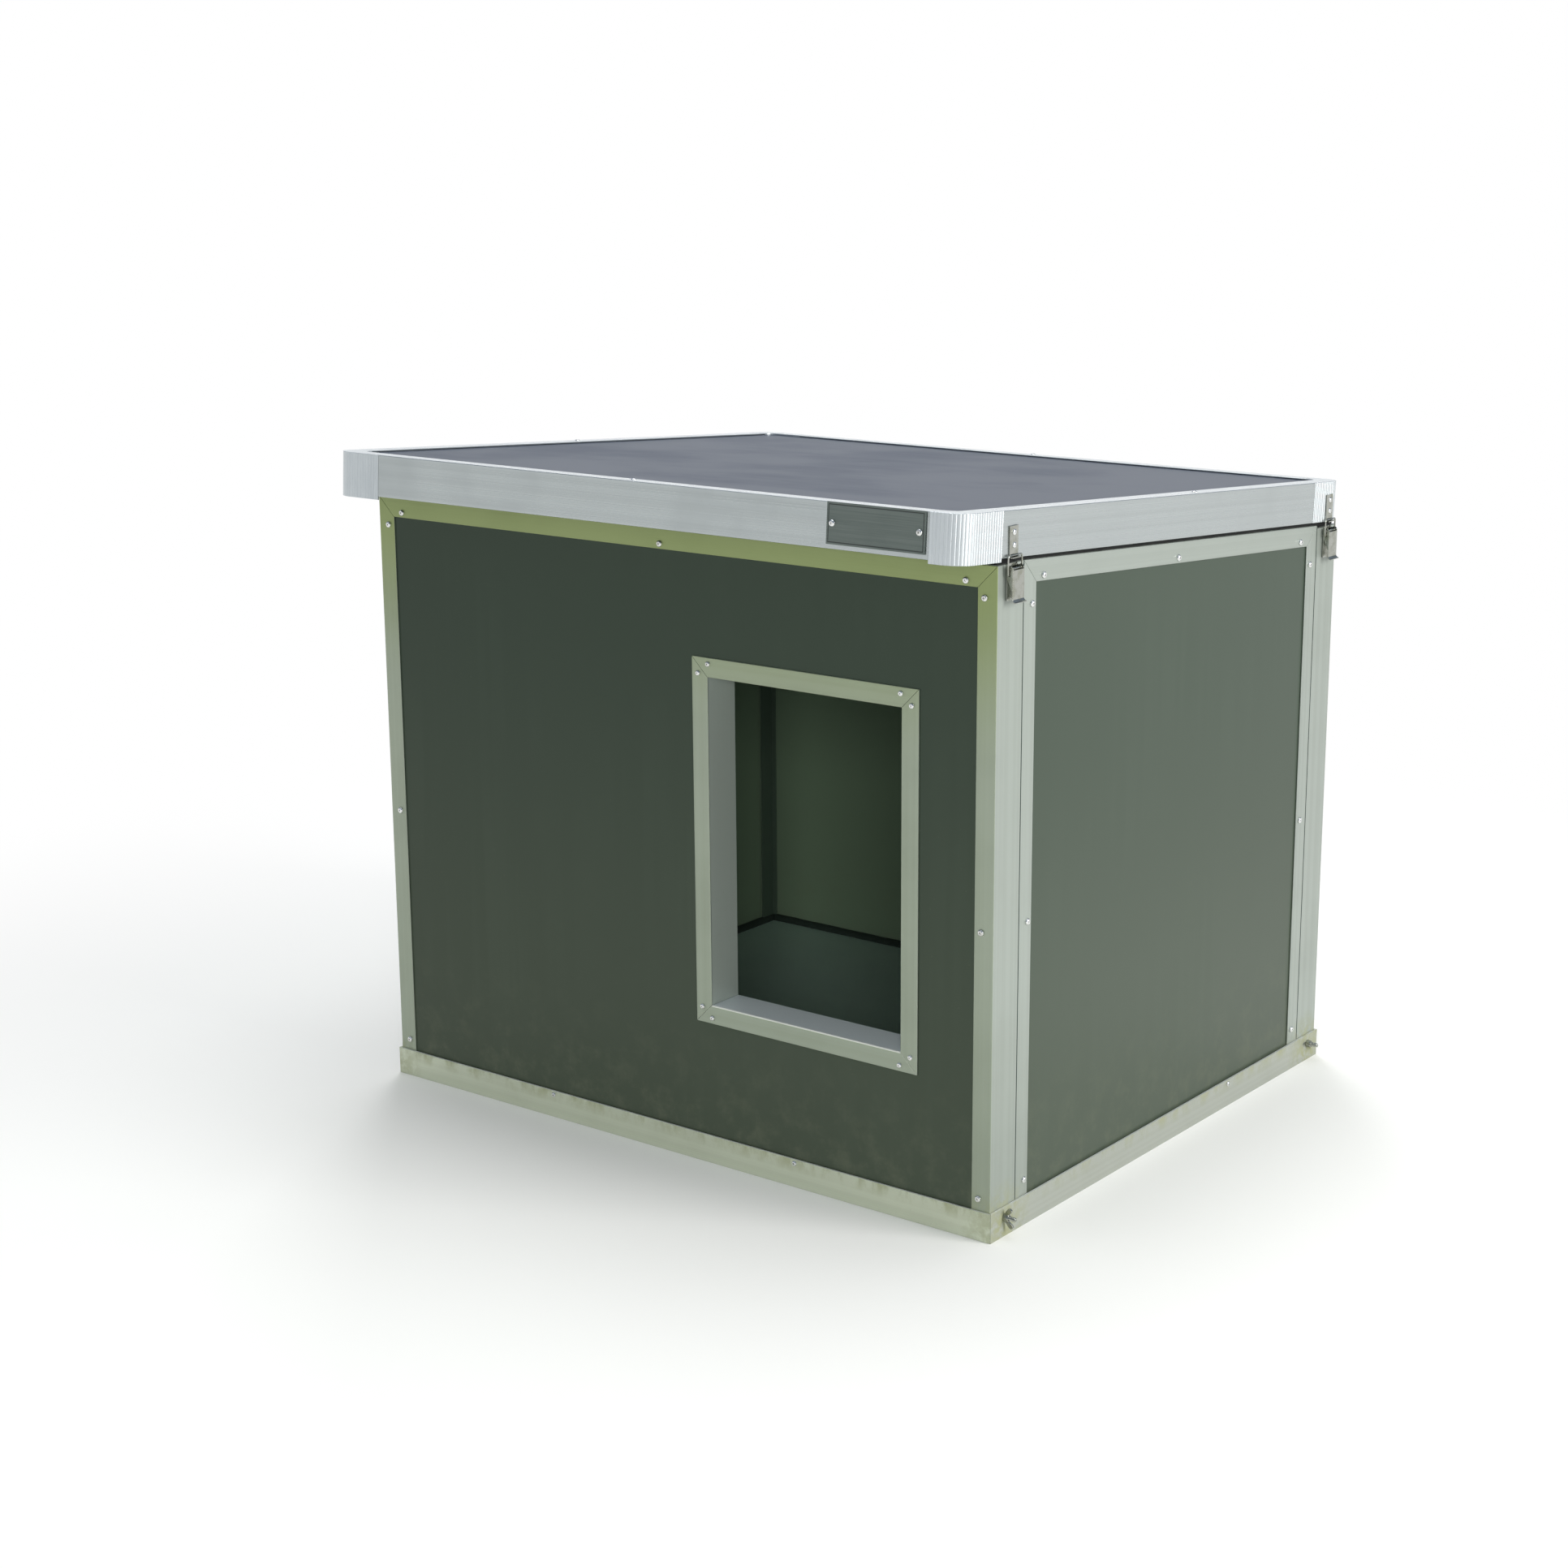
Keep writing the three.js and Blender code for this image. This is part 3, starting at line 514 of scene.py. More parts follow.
# %% Name plate finish
plate_metal, shader, at = new_finish("plate_metal")
plate_map = place("ShaderNodeUVMap", {}, shader.id_data, uv_map="plate")
edge_distance = [times(maths("PINGPONG", component(plate_map, axis), 0.5), length)
                 for axis, length in (("X", 138.5), ("Y", 49.0))]
nearest = maths("MINIMUM", *edge_distance)
border = times(ramp(nearest, 3.6, 3.2), ramp(nearest, 2.0, 2.4))
brushed = stretch(at, (8.0, 900.0, 900.0))
lines = shared("drawn_lines", brushed)["Fine"]
smudges = shared("weathering", at, Smudge_Scale=24.0)["Smudges"]
satin = tint(lines, (0.125, 0.150, 0.140), (0.155, 0.182, 0.170))
engraved = maths("SUBTRACT", lines, times(border, 4.0))
fill(shader, {
    "Base Color": tint(border, satin, (0.030, 0.036, 0.034)),
    "Roughness": ramp(smudges, 0.0, 1.0, 0.38, 0.5),
    "Metallic": ramp(border, 0.0, 1.0, 0.55, 0.2),
    "Normal": relief(engraved, 0.3, 0.0001),
})
print("finishes:", len(bpy.data.materials))

# %% [markdown]
# ## Panels and seal
# The sandwich panels and the rubber seal sit inside their profiles with only flat faces
# showing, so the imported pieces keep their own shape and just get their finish.

# %% Finish the plain pieces
def assign(piece, material):
    piece.data.materials.clear()
    piece.data.materials.append(material)


plain_pieces = {"front_wall_panel": front_painted_shade_laminate, "roof_panel": roof_laminate,
                "floor_panel": floor_laminate, "roof_seal": seal_rubber}
for wall in ("rear", "left", "right"):
    plain_pieces[wall + "_wall_panel"] = wall_laminate
for name, material in plain_pieces.items():
    assign(frame["nodes"][name], material)
print("plain pieces:", len(plain_pieces))

# %% [markdown]
# ## Helpers for meshes
# Everything drawn here is a closed surface of its own: plates between two outlines, and skins
# over rings of points. No operator that depends on a selection is needed, and the normals are
# turned outwards once, when the mesh is made.

# %% Mesh helpers
def skin(work, rings, closed=True):
    """Faces between rings of points that follow each other, each ring closed or open."""
    for ring, following in zip(rings, rings[1:]):
        for k in range(len(ring) if closed else len(ring) - 1):
            beside = (k + 1) % len(ring)
            work.faces.new((ring[k], ring[beside], following[beside], following[k]))


def add_plate(work, *outlines):
    """A closed plate between two outlines that have as many points each."""
    ends = [[work.verts.new(point) for point in outline] for outline in outlines]
    for end in ends:
        work.faces.new(end)
    skin(work, ends)


def drawn(work, name, sharper_than=None):
    """An object of the finished mesh, shaded smooth up to an angle where one is given."""
    bmesh.ops.recalc_face_normals(work, faces=work.faces)
    mesh = bpy.data.meshes.new(name)
    work.to_mesh(mesh)
    work.free()
    if sharper_than:
        mesh.shade_smooth()
        mesh.set_sharp_from_angle(angle=radians(sharper_than))
    return bpy.data.objects.new(name, mesh)


def dress(piece, body, material):
    """Gives a piece its finish and its slot, and lets it ride on its body."""
    assign(piece, material)
    shown.link(piece)
    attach(piece, body)


def stand_for(node, piece, material):
    """Lets a finished piece take the place of a node."""
    dress(piece, frame["nodes"][node]["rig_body"], material)
    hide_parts(node)


# %% [markdown]
# ## Profiles and fittings with eased edges
# No real edge is perfectly sharp: an extruded edge has a small round that catches the light,
# a sawn end a smaller one, and without them metal looks like paper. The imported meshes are
# loose triangles, so each metal piece is copied, its doubles merged and its flat faces joined,
# and a Bevel modifier rounds what is still sharp. Bevelling by angle would round every edge
# alike, so each sharp edge gets a weight instead, less for a sawn one. The facets of round
# bars are flatter than the angle and stay as they are.

# %% Eased copies
sharp_angle = 35


def merged_copy(node):
    """A node's shape with its doubles merged and its flat faces joined."""
    work = bmesh.new()
    work.from_mesh(frame["nodes"][node].data)
    bmesh.ops.remove_doubles(work, verts=work.verts, dist=0.00001)
    bmesh.ops.dissolve_limit(work, angle_limit=radians(0.4), verts=work.verts, edges=work.edges)
    return work


def weigh_edges(work, lengthwise_weight, sawn):
    """Weighs sharp edges along a piece and sawn ones across it; the front's top one fully."""
    sizes = [max(vertex.co[axis] for vertex in work.verts)
             - min(vertex.co[axis] for vertex in work.verts) for axis in range(3)]
    lengthwise = sizes.index(max(sizes))
    weight = work.edges.layers.float.new("bevel_weight_edge")
    for edge in work.edges:
        if edge.is_manifold and edge.calc_face_angle() > radians(sharp_angle):
            direction = (edge.verts[1].co - edge.verts[0].co).normalized()
            look = edge.link_faces[0].normal + edge.link_faces[1].normal
            if abs(direction[lengthwise]) < 0.95:
                edge[weight] = sawn
            elif look.y < -0.9 and look.z > 0.9:
                edge[weight] = 1.0
            else:
                edge[weight] = lengthwise_weight


def eased(node, material, width, sawn=1.0, lengthwise=1.0):
    """Stands for a node, with its sharp edges rounded by a width in millimetres."""
    work = merged_copy(node)
    work.normal_update()
    weigh_edges(work, lengthwise, sawn)
    piece = drawn(work, node + "_eased", sharp_angle)
    bevel = piece.modifiers.new("eased_edges", "BEVEL")
    bevel.width = width * millimetre
    bevel.segments = 2
    bevel.limit_method = "WEIGHT"
    bevel.use_clamp_overlap = False
    bevel.harden_normals = True
    stand_for(node, piece, material)
    return piece


# %% Wall profiles, door trims, base angles and roof edge
level_set = (aluminium_x, base_x, roof_edge_x)
sloped_set = (aluminium_slope, base_y, roof_edge_slope)
sides = {"front": level_set, "rear": level_set, "left": sloped_set, "right": sloped_set}
for side, (top, _, _) in sides.items():
    for edge, finish in (("left", aluminium_z), ("right", aluminium_z), ("top", top)):
        eased(f"{side}_wall_profile_{edge}", finish, 0.9, 0.3)
for edge, finish in (("left", door_jamb), ("right", door_jamb), ("top", door_head)):
    eased(f"door_trim_{edge}", finish, 0.9, 0.3)
eased("door_trim_bottom", door_sill, 1.8, sawn=0.15, lengthwise=0.5)
for side, (_, low, _) in sides.items():
    eased(f"base_angle_{side}", low, 1.0, 0.4)
for side, (_, _, high) in sides.items():
    eased(f"roof_profile_{side}", high, 0.9, 0.4)

# %% Latches and wing nuts
corners = ("front_right", "rear_right", "rear_left", "front_left")
for corner in corners:
    for part, width in (("latch_catch", 0.3), ("latch_base", 0.3), ("latch_lever", 0.35),
                        ("wing_nut", 0.4)):
        eased(f"{part}_{corner}", steel, width)
print("eased pieces:", sum("eased" in thing.name for thing in shown))

# %% [markdown]
# ## Wire bails
# Each bail is one bent wire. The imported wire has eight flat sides. Subdividing a merged copy
# turns it into a round wire with smooth bends, which a bevel couldn't do.

# %% Round wire
for corner in corners:
    node = f"latch_bail_{corner}"
    wire = drawn(merged_copy(node), node + "_eased", 180)
    wire.modifiers.new("round_wire", "SUBSURF").levels = 2
    stand_for(node, wire, steel)
print("wire bails:", len(corners))

# %% [markdown]
# ## Ribbed roof corners
# The corner pieces are ribbed extrusions bent round the corner, and their ribs are soft waves.
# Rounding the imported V-grooves with a bevel would tear them where they meet the flat bands, so
# the ribbed wall is drawn again as a strip: rings of points that follow the corner, with the
# wave as their depth, and the first and last ring drawn in a little to round the edge.

# %% The line round a corner
front_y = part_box("front_wall_profile_left")[0].y
wall_height, seal_height, seal_gap = 0.829, 3.9, 0.6
roof_height = wall_height + (seal_height + seal_gap) * millimetre / cos(roof_slope)
roof_top, roof_half, roof_near, roof_far = 54.6, 502.2, -80.0, 853.1
bend_radius, sheet, flange = 30.0, 2.0, 27.0
roof_turn = Matrix.Rotation(-roof_slope, 3, "X")


def on_roof(x, y, z):
    """A place measured on the level roof, in millimetres, moved to where the roof leans."""
    leaning = roof_turn @ Vector((x, y, z)) * millimetre
    return leaning + Vector((0, front_y, roof_height))


def round_the_corner(cross, side):
    """The length round a corner, and a place at a distance along it and a depth below it."""
    straight, bend = cross - bend_radius, pi / 2 * bend_radius

    def at(along, depth):
        if along < straight:
            return cross - along, depth
        if along > straight + bend:
            return depth, bend_radius + along - straight - bend
        turn = (along - straight) / bend_radius
        reach = bend_radius - depth
        return bend_radius - reach * sin(turn), bend_radius - reach * cos(turn)

    return straight + bend + side - bend_radius, at


def rib_stations(length, pitch=5.0, crest=0.55, depth=0.5, steps=8):
    """Distances along the corner, each with the depth of the ribs' wave."""
    ribs = round(length / pitch)
    stations = []
    for rib in range(ribs):
        stations += [((rib + share) * length / ribs, 0.0) for share in (0, crest / 2)]
        for step in range(steps):
            wave = 0.5 - 0.5 * cos(2 * pi * step / steps)
            share = crest + (1 - crest) * step / steps
            stations.append(((rib + share) * length / ribs, depth * wave))
    return stations + [(length, 0.0)]


# %% Ribbed corner pieces
def add_ribbed_wall(work, spot, at, stations, low, high, ease=0.35):
    """The ribbed sheet, as strips between rings of points, with eased upper and lower edges."""
    rings = [[work.verts.new(spot(at(along, depth + inwards), z)) for along, depth in stations]
             for z, inwards in ((low, ease), (low + ease, 0), (high - ease, 0), (high, ease))]
    for z in (high, low):
        rings.append([work.verts.new(spot(at(along, sheet), z)) for along, _ in stations])
    skin(work, rings + rings[:1], closed=False)
    for end in (0, -1):
        work.faces.new([ring[end] for ring in rings])


def ribbed_corner(corner, bend_steps=12, inner_radius=14.0, front_skirt=4.2):
    """Stands for a corner piece: its ribbed wall, and a band above and below the roof."""
    node = f"roof_corner_{corner}"
    right, front = corner.endswith("right"), corner.startswith("front")
    cross, side = (43.0, 84.0) if right else (84.0, 43.0)
    length, at = round_the_corner(cross, side)

    def spot(point, z):
        """A place at a height on the roof, from its distances to the roof's two edges."""
        x = roof_half - point[0]
        y = roof_near + point[1] if front else roof_far - point[1]
        return on_roof(x if right else -x, y, z)

    turns = [pi / 2 * k / bend_steps for k in range(bend_steps + 1)]
    outer = [at(cross - bend_radius + turn * bend_radius, sheet) for turn in turns]
    middle = flange + inner_radius
    inner = [(middle - inner_radius * cos(turn), middle - inner_radius * sin(turn))
             for turn in turns]
    outline = [at(0.0, sheet), *outer, at(length, sheet), (flange, side), *inner,
               (cross, flange)]
    work = bmesh.new()
    add_ribbed_wall(work, spot, at, rib_stations(length), -front_skirt if front else 0,
                    roof_top)
    for low, high in ((roof_top - sheet, roof_top), (0, sheet)):
        add_plate(work, *[[spot(point, z) for point in outline] for z in (low, high)])
    piece = drawn(work, node + "_ribs", 40)
    stand_for(node, piece, ribbed_aluminium)
    return len(piece.data.polygons)


print("faces of each ribbed corner:", [ribbed_corner(corner) for corner in corners])

# %% [markdown]
# ## Threaded studs
# An M6 stud sticks out of every wing nut. A thread is a surface whose radius follows the
# angle round the bar as it moves along, so its points are worked out in a grid: one ring of
# points every quarter of the pitch, and the radius rising and falling once per turn.

# %% Stud with a thread
def threaded_stud(node, outward, pitch=0.001, rings_per_pitch=4, around=16):
    """A stud along X with a helical thread."""
    low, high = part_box(node)
    middle_y, middle_z = (low.y + high.y) / 2, (low.z + high.z) / 2
    crest, root, point_length, point_taper = 0.0029, 0.00245, 0.0012, 0.0006
    length = high.x - low.x
    ring_count = round(length / pitch * rings_per_pitch)
    start = low.x if outward > 0 else high.x
    work = bmesh.new()
    rings = []
    for ring in range(ring_count + 1):
        along = length * ring / ring_count
        full = min(1.0, (length - along) / point_length, along / point_length)
        points = []
        for step in range(around):
            turn = 2 * pi * step / around
            phase = (along / pitch - step / around) % 1.0
            rise = 1 - abs(2 * phase - 1)
            radius = root - point_taper * (1 - full) + (crest - root) * rise * full
            points.append(work.verts.new((
                start + outward * along, middle_y + radius * cos(turn),
                middle_z + outward * radius * sin(turn))))
        rings.append(points)
    skin(work, rings)
    work.faces.new(rings[0][::-1])
    work.faces.new(rings[-1])
    stand_for(node, drawn(work, node + "_threaded", 60), steel)


for corner in corners:
    threaded_stud(f"base_stud_{corner}", 1 if corner.endswith("right") else -1)
print("studs:", len(corners), "with a 1 mm pitch")

# %% [markdown]
# ## Name plate
# The blank plate gets its own map, from its lower left corner to its upper right one, so that
# its engraved border stays parallel to its edges although the plate leans with the roof.

# %% Name plate
plate = eased("name_plate", plate_metal, 0.3)
low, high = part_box("name_plate")
plate_width, plate_height = high.x - low.x, 0.049
plate_up = Vector((0.0, sin(roof_slope), cos(roof_slope)))
lowest = min(plate_up.dot(vertex.co) for vertex in plate.data.vertices)
plate_uv = plate.data.uv_layers.new(name="plate")
for loop in plate.data.loops:
    point = plate.data.vertices[loop.vertex_index].co
    upwards = (plate_up.dot(point) - lowest) / plate_height
    plate_uv.data[loop.index].uv = ((point.x - low.x) / plate_width, upwards)
print("plate:", round(plate_width * 1000, 1), "mm wide")

# %% [markdown]
# ## Screws and rivets
# Pan-head screws with a cross recess hold the profiles, and blind rivets hold the catches and
# the roof's edge. Modelling each would repeat the same head a hundred times, so one of each
# kind is made, and Geometry Nodes sets a copy on each marked point, pointing outwards and
# turned by its own amount, as screws never end up in line.

# %% One screw head and one rivet head
def revolved(profile, around):
    """A skin round the Z axis through pairs of a radius and a height, closed at the start."""
    work = bmesh.new()
    turns = [2 * pi * step / around for step in range(around)]
    rings = [[work.verts.new((radius * cos(turn), radius * sin(turn), height))
              for turn in turns] for radius, height in profile]
    skin(work, rings)
    work.faces.new(rings[0][::-1])
    return work, rings[-1]


def ring_edges(ring, edge_between):
    return [edge_between((ring[k - 1], ring[k])) for k in range(len(ring))]


# A unit is the head's diameter.
head_top = 0.325
work, rim = revolved([(0.47, -0.02), (0.5, 0.03), (0.5, 0.12), (0.46, 0.22), (0.37, 0.30),
                      (0.30, head_top)], 24)
slot_half, slot_reach, slot_depth, slot_taper = 0.045, 0.2, 0.17, 0.7
recess = []
for quarter in range(4):
    turn = Matrix.Rotation(quarter * pi / 2, 3, "Z")
    for x, y in ((slot_reach, -slot_half), (slot_reach, slot_half), (slot_half, slot_half)):
        recess.append(turn @ Vector((x, y, head_top)))
cross = [work.verts.new(point) for point in recess]
cross_floor = [work.verts.new((x * slot_taper, y * slot_taper, head_top - slot_depth))
               for x, y, _ in recess]
top_edges = ring_edges(cross, work.edges.new) + ring_edges(rim, work.edges.get)
bmesh.ops.triangle_fill(work, use_beauty=True, edges=top_edges)
skin(work, [cross, cross_floor])
work.faces.new(cross_floor)
screw_head = drawn(work, "screw_head", 42)

work, rim = revolved([(0.49, -0.02), (0.5, 0.04), (0.46, 0.12), (0.36, 0.20), (0.24, 0.245),
                      (0.17, 0.25), (0.14, 0.19), (0.13, 0.10)], 20)
work.faces.new(rim)
rivet_head = drawn(work, "rivet_head", 42)
print("faces of a screw head:", len(screw_head.data.polygons),
      "and of a rivet:", len(rivet_head.data.polygons))

# %% Geometry Nodes that set heads on points
given, result = new_group(
    "heads_on_points", "GeometryNodeTree",
    [("Points", "Geometry"), ("Head", "Object"), ("Diameter", "Float", 0.008),
     ("Seed", "Int", 3), ("Finish", "Material")],
    [("Heads", "Geometry")])
head = place("GeometryNodeObjectInfo", {"Object": given["Head"]})
outward = place("GeometryNodeInputNamedAttribute", {"Name": "outward"}, result.id_data,
                data_type="FLOAT_VECTOR")
stand_up = place("FunctionNodeAlignRotationToVector", {"Vector": outward}, axis="Z")
any_turn = place("FunctionNodeRandomValue", {
    3: 2 * pi, "Seed": given["Seed"]}, data_type="FLOAT")
spin = place("FunctionNodeAxisAngleToRotation", {
    "Axis": (0.0, 0.0, 1.0), "Angle": any_turn.outputs[1]})
turned = place("FunctionNodeRotateRotation", {
    "Rotation": stand_up, "Rotate By": spin}, rotation_space="LOCAL")
copies = place("GeometryNodeInstanceOnPoints", {
    "Points": given["Points"], "Instance": head.outputs["Geometry"], "Rotation": turned,
    "Scale": given["Diameter"]})
real = place("GeometryNodeRealizeInstances", {0: copies})
fill(result, {0: place("GeometryNodeSetMaterial", {0: real, "Material": given["Finish"]})})


# %% From marked points to one mesh
def grow(name, body, material, slot, marks, group, **values):
    """A piece that a Geometry Nodes group makes of marks."""
    values["Finish"] = material
    carrier = bpy.data.objects.new(name + "_marks", marks)
    shown.link(carrier)
    tree = bpy.data.node_groups[group]
    modifier = carrier.modifiers.new(group, "NODES")
    for item in tree.interface.items_tree:
        if item.in_out == "INPUT" and item.name in values:
            modifier[item.identifier] = values[item.name]
    modifier.node_group = tree
    bpy.context.view_layer.update()
    graph = bpy.context.evaluated_depsgraph_get()
    mesh = bpy.data.meshes.new_from_object(carrier.evaluated_get(graph))
    mesh.name = name
    bpy.data.objects.remove(carrier)
    dress(bpy.data.objects.new(name, mesh), body, material)
    print(name, "faces:", len(mesh.polygons))


def set_heads(name, body, head, diameter, marks, seed=3):
    """Heads of one kind on marks, each a place and an outward direction."""
    points = bpy.data.meshes.new(name + "_marks")
    points.from_pydata([mark[0] for mark in marks], [], [])
    outward = points.attributes.new("outward", "FLOAT_VECTOR", "POINT")
    for item, mark in zip(outward.data, marks):
        item.vector = mark[1]
    shown.link(head)
    grow(name, body, plated_steel, "stainless_steel", points, "heads_on_points",
         Head=head, Diameter=diameter * millimetre, Seed=seed)
    shown.unlink(head)


# %% Where the wall screws sit
rear_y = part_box("rear_wall_profile_left")[1].y
side_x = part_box("right_wall_profile_top")[1].x
forwards, backwards = Vector((0, -1, 0)), Vector((0, 1, 0))


def side_top(y):
    """The height of the sloped top of the side walls."""
    return wall_height - tan(roof_slope) * (y - front_y)


screw_marks = []
for x in (-0.457, -0.003, 0.457):
    screw_marks += [((x, front_y, 0.805), forwards), ((x, rear_y, 0.750), backwards)]
for x in (-0.483, 0.483):
    screw_marks += [((x, front_y, z), forwards) for z in (0.053, 0.388, 0.787)]
    screw_marks += [((x, rear_y, z), backwards) for z in (0.053, 0.365, 0.732)]
for out in (-1, 1):
    for y in (-0.290, 0.023, 0.351):
        screw_marks.append(((out * side_x, y, side_top(y) - 0.020), (out, 0, 0)))
    for y in (-0.3139, 0.3803):
        heights = (0.058, 0.47 * side_top(y), side_top(y) - 0.052)
        screw_marks += [((out * side_x, y, z), (out, 0, 0)) for z in heights]
set_heads("wall_screws", "house", screw_head, 8.4, screw_marks)

# %% Door frame and base screws
door_low, door_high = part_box("door_trim_left")[0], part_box("door_trim_right")[1]
door_bottom, door_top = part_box("door_trim_bottom")[0].z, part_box("door_trim_top")[1].z
small_marks = []
for side, x in ((1, door_low.x), (-1, door_high.x)):
    for up, z in ((1, door_bottom), (-1, door_top)):
        for across, along in ((0.010, 0.021), (0.026, 0.008)):
            small_marks.append(((x + side * across, front_y, z + up * along), forwards))
base_front, base_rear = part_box("base_angle_front")[0].y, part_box("base_angle_rear")[1].y
base_side, base_screw_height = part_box("base_angle_right")[1].x, 0.0325
for x in (-0.206, 0.206):
    small_marks.append(((x, base_front, base_screw_height), forwards))
    small_marks.append(((x, base_rear, base_screw_height), backwards))
for out in (-1, 1):
    small_marks.append(((out * base_side, 0.193, base_screw_height), (out, 0, 0)))
set_heads("door_and_base_screws", "house", screw_head, 7.0, small_marks, seed=11)

# %% Roof rivets, plate screws and catch rivets
band_middle, catch_thickness, rivet_heights = flange / 2, 0.0040, (0.0145, 0.0295)
rivet_places = [(11, roof_near + band_middle), (6, roof_far - band_middle),
                (roof_half - band_middle, 463), (-roof_half + band_middle, 386)]
rivet_marks = [(on_roof(x, y, roof_top), roof_turn @ Vector((0, 0, 1)))
               for x, y in rivet_places]
for corner in corners:
    low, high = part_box(f"latch_catch_{corner}")
    out = 1 if corner.endswith("right") else -1
    catch_face = out * (side_x + catch_thickness)
    for height in rivet_heights:
        place_at = (catch_face, (low.y + high.y) / 2, low.z + height)
        rivet_marks.append((place_at, (out, 0, 0)))
set_heads("roof_rivets", "roof", rivet_head, 7.2, rivet_marks, seed=5)
plate_marks = [(on_roof(x, roof_near - 1.8, 30.1), roof_turn @ forwards)
               for x in (325.5, 447.5)]
set_heads("plate_screws", "roof", screw_head, 8.4, plate_marks, seed=7)
bpy.data.objects.remove(screw_head)
bpy.data.objects.remove(rivet_head)

# %% [markdown]
# ## Sealant and corner strips
# Inside, a bead of sealant runs round the floor, and outside a thin line of it fills the joint
# between two walls. A hand-laid bead is never even, so Geometry Nodes sweeps a circle along a
# path that a noise moves a little to and fro. A dark strip covers each upright corner inside and
# darkens it: a thin angle with a long leg over the side wall's profile, drawn as an outline
# pushed upwards, with a bevel for its moulded edges.

# %% Geometry Nodes for a laid bead
given, result = new_group(
    "laid_bead", "GeometryNodeTree",
    [("Path", "Geometry"), ("Width", "Float", 0.016), ("Wander", "Float", 0.0012),
     ("Finish", "Material")],
    [("Bead", "Geometry")])
line = place("GeometryNodeMeshToCurve", {0: given["Path"]})
even = place("GeometryNodeResampleCurve", {"Curve": line, "Length": 0.006}, mode="LENGTH")
position = result.id_data.nodes.new("GeometryNodeInputPosition")
unevenness = place("ShaderNodeTexNoise", {"Vector": position, "Scale": 34.0})
centred = vectors("SUBTRACT", unevenness.outputs["Color"], (0.5, 0.5, 0.5))
shift = place("ShaderNodeVectorMath", {0: centred, "Scale": given["Wander"]}, operation="SCALE")
moved = place("GeometryNodeSetPosition", {"Geometry": even, "Offset": shift})
circle = place("GeometryNodeCurvePrimitiveCircle", {
    "Resolution": 12, "Radius": times(given["Width"], 0.5)})
swept = place("GeometryNodeCurveToMesh", {
    "Curve": moved, "Profile Curve": circle, "Fill Caps": True})
smooth = place("GeometryNodeSetShadeSmooth", {0: swept})
real = place("GeometryNodeRealizeInstances", {0: smooth})
fill(result, {0: place("GeometryNodeSetMaterial", {0: real, "Material": given["Finish"]})})

# %% Bead round the floor
side_wall_thickness, strip_below_top = 0.0546, 0.012
room_x = side_x - side_wall_thickness
room_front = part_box("front_wall_profile_left")[1].y
room_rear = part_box("rear_wall_profile_left")[0].y
floor_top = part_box("floor_panel")[1].z


def lay_bead(name, points, lines, width, wander):
    """A bead of sealant along lines between points."""
    path = bpy.data.meshes.new(name + "_path")
    path.from_pydata(points, lines, [])
    grow(name, "house", sealant, "seal_rubber", path, "laid_bead", Width=width, Wander=wander)


ring = [(x, y, floor_top) for x, y in ((-room_x, room_front), (room_x, room_front),
                                       (room_x, room_rear), (-room_x, room_rear))]
lay_bead("floor_bead", ring, [(0, 1), (1, 2), (2, 3), (3, 0)], 0.017, 0.0012)

# %% Beads in the joints between the walls
joint_depth, joint_shift = 0.00095, 0.00015
joint_ends = []
for out in (-1, 1):
    for joint_y in (room_front + joint_shift, room_rear - joint_shift):
        for z in (0.0385, side_top(joint_y) - 0.001):
            joint_ends.append((out * (side_x - joint_depth), joint_y, z))
joint_lines = [(k, k + 1) for k in range(0, len(joint_ends), 2)]
lay_bead("joint_beads", joint_ends, joint_lines, 0.0026, 0.0002)

# %% Corner strips
strip_gap = 0.0002
long_leg, short_leg, thick = 0.029, 0.009, 0.0014
strip_outline = [(0, 0), (short_leg, 0), (short_leg, thick), (thick, thick),
                 (thick, long_leg), (0, long_leg)]


def corner_strip(name, out, wall_y, inward):
    """An upright angle in an inside corner, from the floor bead to just under the seal."""
    work = bmesh.new()
    add_plate(work, *[[(out * room_x - out * (strip_gap + a),
                        wall_y + inward * (strip_gap + b), z) for a, b in strip_outline]
                      for z in (floor_top + strip_gap, side_top(wall_y) - strip_below_top)])
    strip = drawn(work, name)
    bevel = strip.modifiers.new("moulded_edges", "BEVEL")
    bevel.width, bevel.segments = 0.0004, 2
    dress(strip, "house", dark_corner_strip_finish)


for out, side in ((-1, "left"), (1, "right")):
    corner_strip(f"corner_strip_front_{side}", out, room_front, 1)
    corner_strip(f"corner_strip_rear_{side}", out, room_rear, -1)
print("corner strips: 4")

# %% [markdown]
# ## Studio
# The house stands on a plain pale floor that turns white with distance, so the ground has the
# house's soft shadow and no horizon. Only camera and mirror rays see that white: the light
# that falls on the house comes from the lamps and a dim surround, so colours stay as written.
# The main light stands to the right and a little behind, which leaves the front in shade and
# the right side bright, as in the picture. The three fill lamps aren't mirrored, as the shapes
# of so many would show on the roof.

# %% Floor
def seen_rays(tree):
    """The rays that camera, mirrors and glass look along, and the camera's own."""
    rays = tree.nodes.new("ShaderNodeLightPath").outputs
    seen = maths("MAXIMUM", rays["Is Camera Ray"], rays["Is Glossy Ray"])
    return maths("MAXIMUM", seen, rays["Is Transmission Ray"]), rays["Is Camera Ray"]


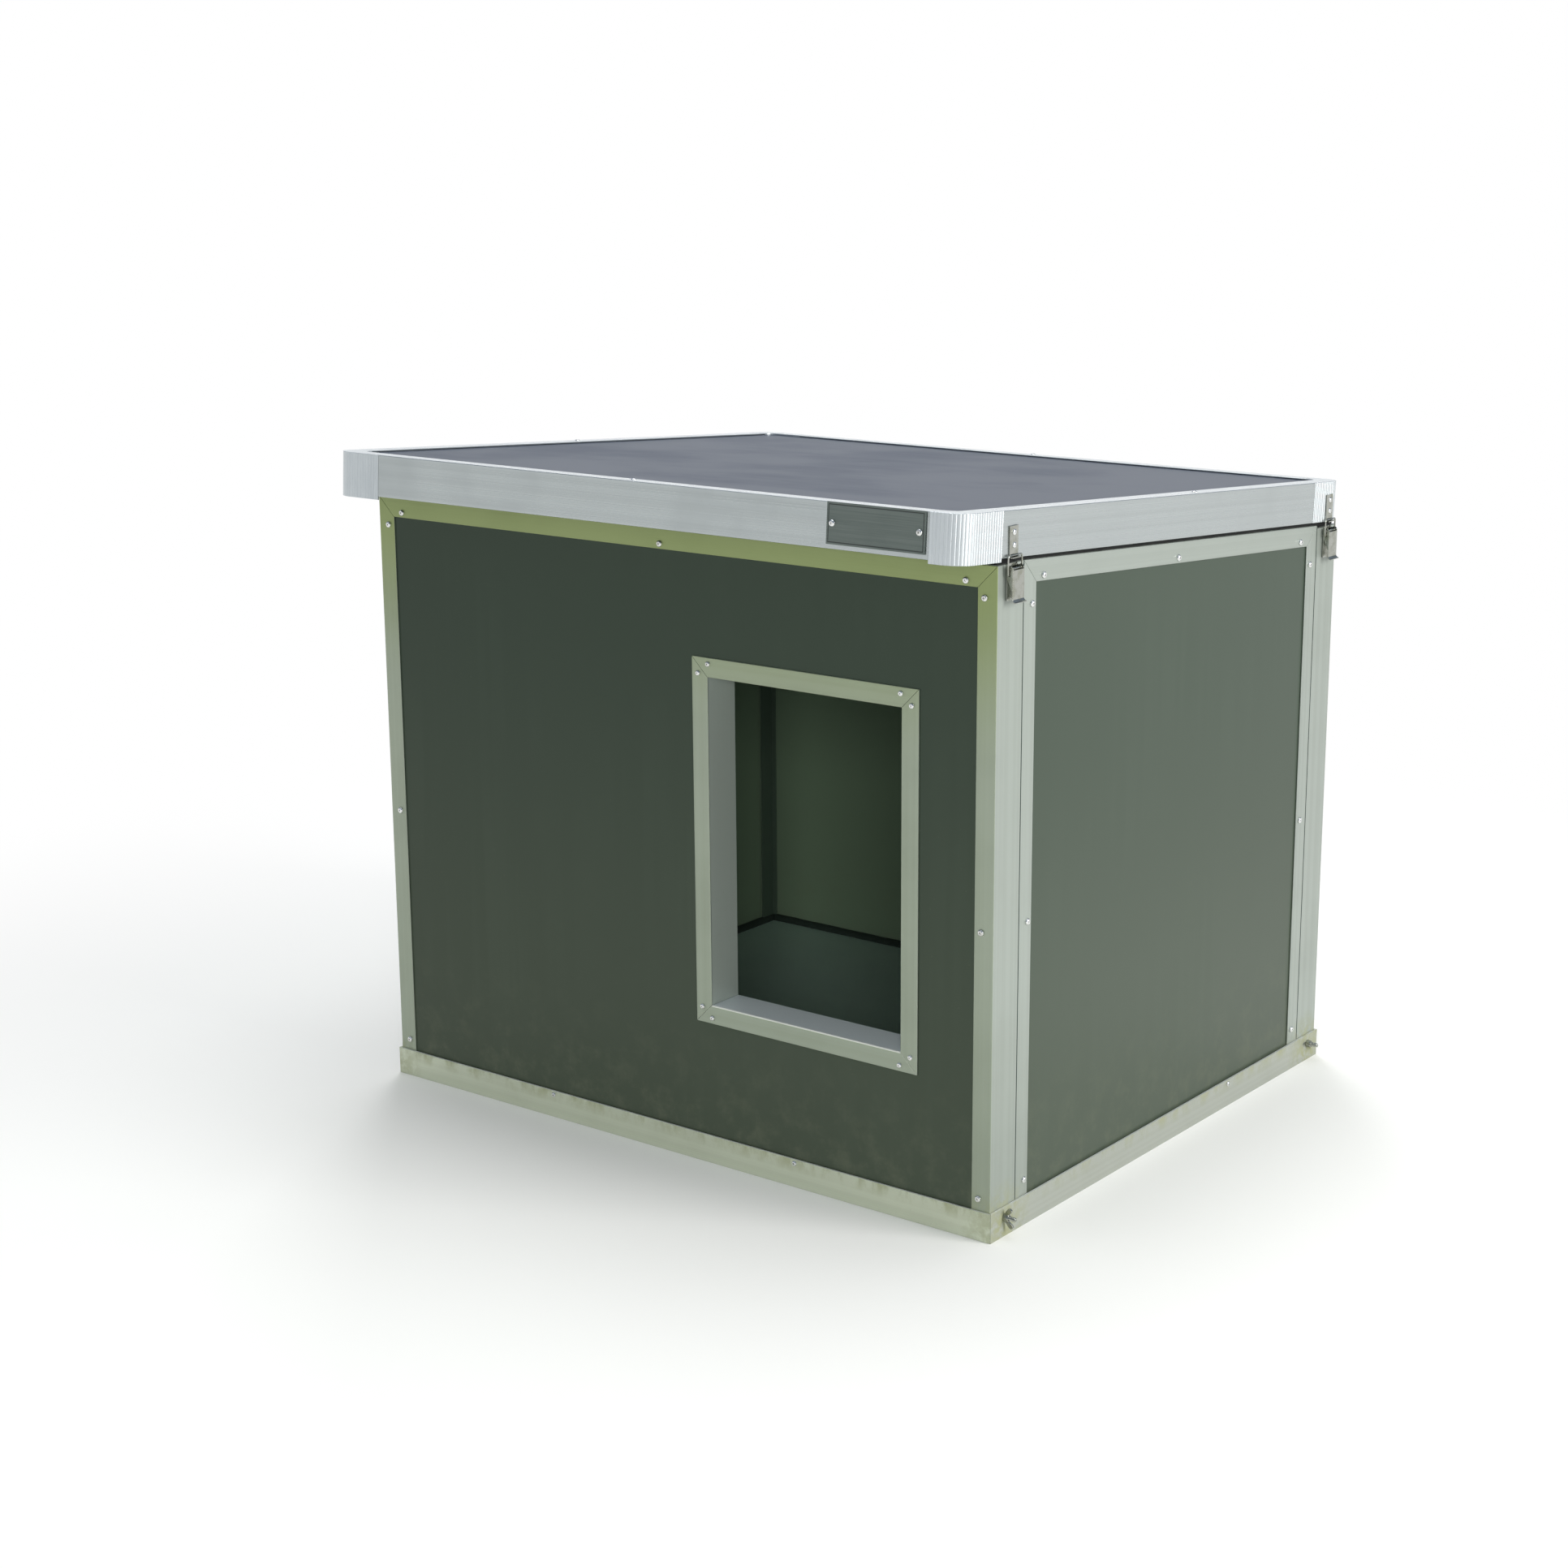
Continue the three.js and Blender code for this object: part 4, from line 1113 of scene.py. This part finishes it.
bpy.ops.mesh.primitive_plane_add(size=60)
ground = bpy.context.object
ground.name = "studio_floor"
floor_finish = bpy.data.materials.new("studio_floor")
tree = emptied(floor_finish)
ground_at = tree.nodes.new("ShaderNodeTexCoord").outputs["Object"]
distance = vectors("DISTANCE", ground_at, (0.0, 0.0, 0.0))
seen, _ = seen_rays(tree)
matt = place("ShaderNodeBsdfDiffuse", {
    "Color": tint(seen, (0.34, 0.35, 0.33), (0.96, 0.96, 0.955))})
white = place("ShaderNodeEmission", {"Color": (1, 1, 1, 1)}, tree)
far = times(ramp(distance, 0.8, 2.1), seen)
mixed = place("ShaderNodeMixShader", {0: far, 1: matt, 2: white})
place("ShaderNodeOutputMaterial", {"Surface": mixed})
assign(ground, floor_finish)

# %% Surround
world = bpy.data.worlds.new("studio")
bpy.context.scene.world = world
tree = emptied(world)
seen, by_camera = seen_rays(tree)
direction = tree.nodes.new("ShaderNodeTexCoord").outputs["Generated"]
mirrored_height = times(component(direction, "Z"), maths("SUBTRACT", 1.0, by_camera))
sky = tint(ramp(mirrored_height, 0.055, 0.14), (1.0, 1.0, 1.0), (0.27, 0.32, 0.40))
dim = place("ShaderNodeBackground", {"Color": (0.93, 0.97, 1.0, 1.0), "Strength": 0.3}, tree)
pale = place("ShaderNodeBackground", {"Color": sky})
mixed = place("ShaderNodeMixShader", {0: seen, 1: dim, 2: pale})
place("ShaderNodeOutputWorld", {"Surface": mixed})


# %% Lamps
def soft_lamp(name, place_at, look_at, size, watts, colour=(1.0, 1.0, 1.0), mirrored=True):
    """A square area lamp that looks at a place."""
    lamp = bpy.data.objects.new(name, bpy.data.lights.new(name, "AREA"))
    lamp.data.size = size
    lamp.data.energy = watts
    lamp.data.color = colour
    lamp.visible_glossy = mirrored
    towards = Vector(look_at) - Vector(place_at)
    turn = towards.to_track_quat("-Z", "Y").to_matrix().to_4x4()
    lamp.matrix_world = Matrix.Translation(place_at) @ turn
    shown.link(lamp)


sunlight, shade = (1.0, 0.985, 0.955), (0.95, 1.0, 0.92)
soft_lamp("main_light", (4.1, 0.5, 1.9), (0.3, 0.0, 0.4), 2.0, 138.0, sunlight)
soft_lamp("top_light", (-0.4, 0.3, 4.0), (0.0, 0.0, 0.6), 3.0, 84.0)
soft_lamp("front_fill", (3.2, -4.3, 1.7), (0.2, -0.4, 0.4), 1.3, 88.0, shade, mirrored=False)
soft_lamp("low_fill", (0.2, -2.9, 0.25), (0.0, -0.4, 0.25), 1.2, 14.0, shade, mirrored=False)
soft_lamp("rear_fill", (-3.0, 3.6, 1.8), (-0.2, 0.2, 0.4), 1.6, 90.0, mirrored=False)
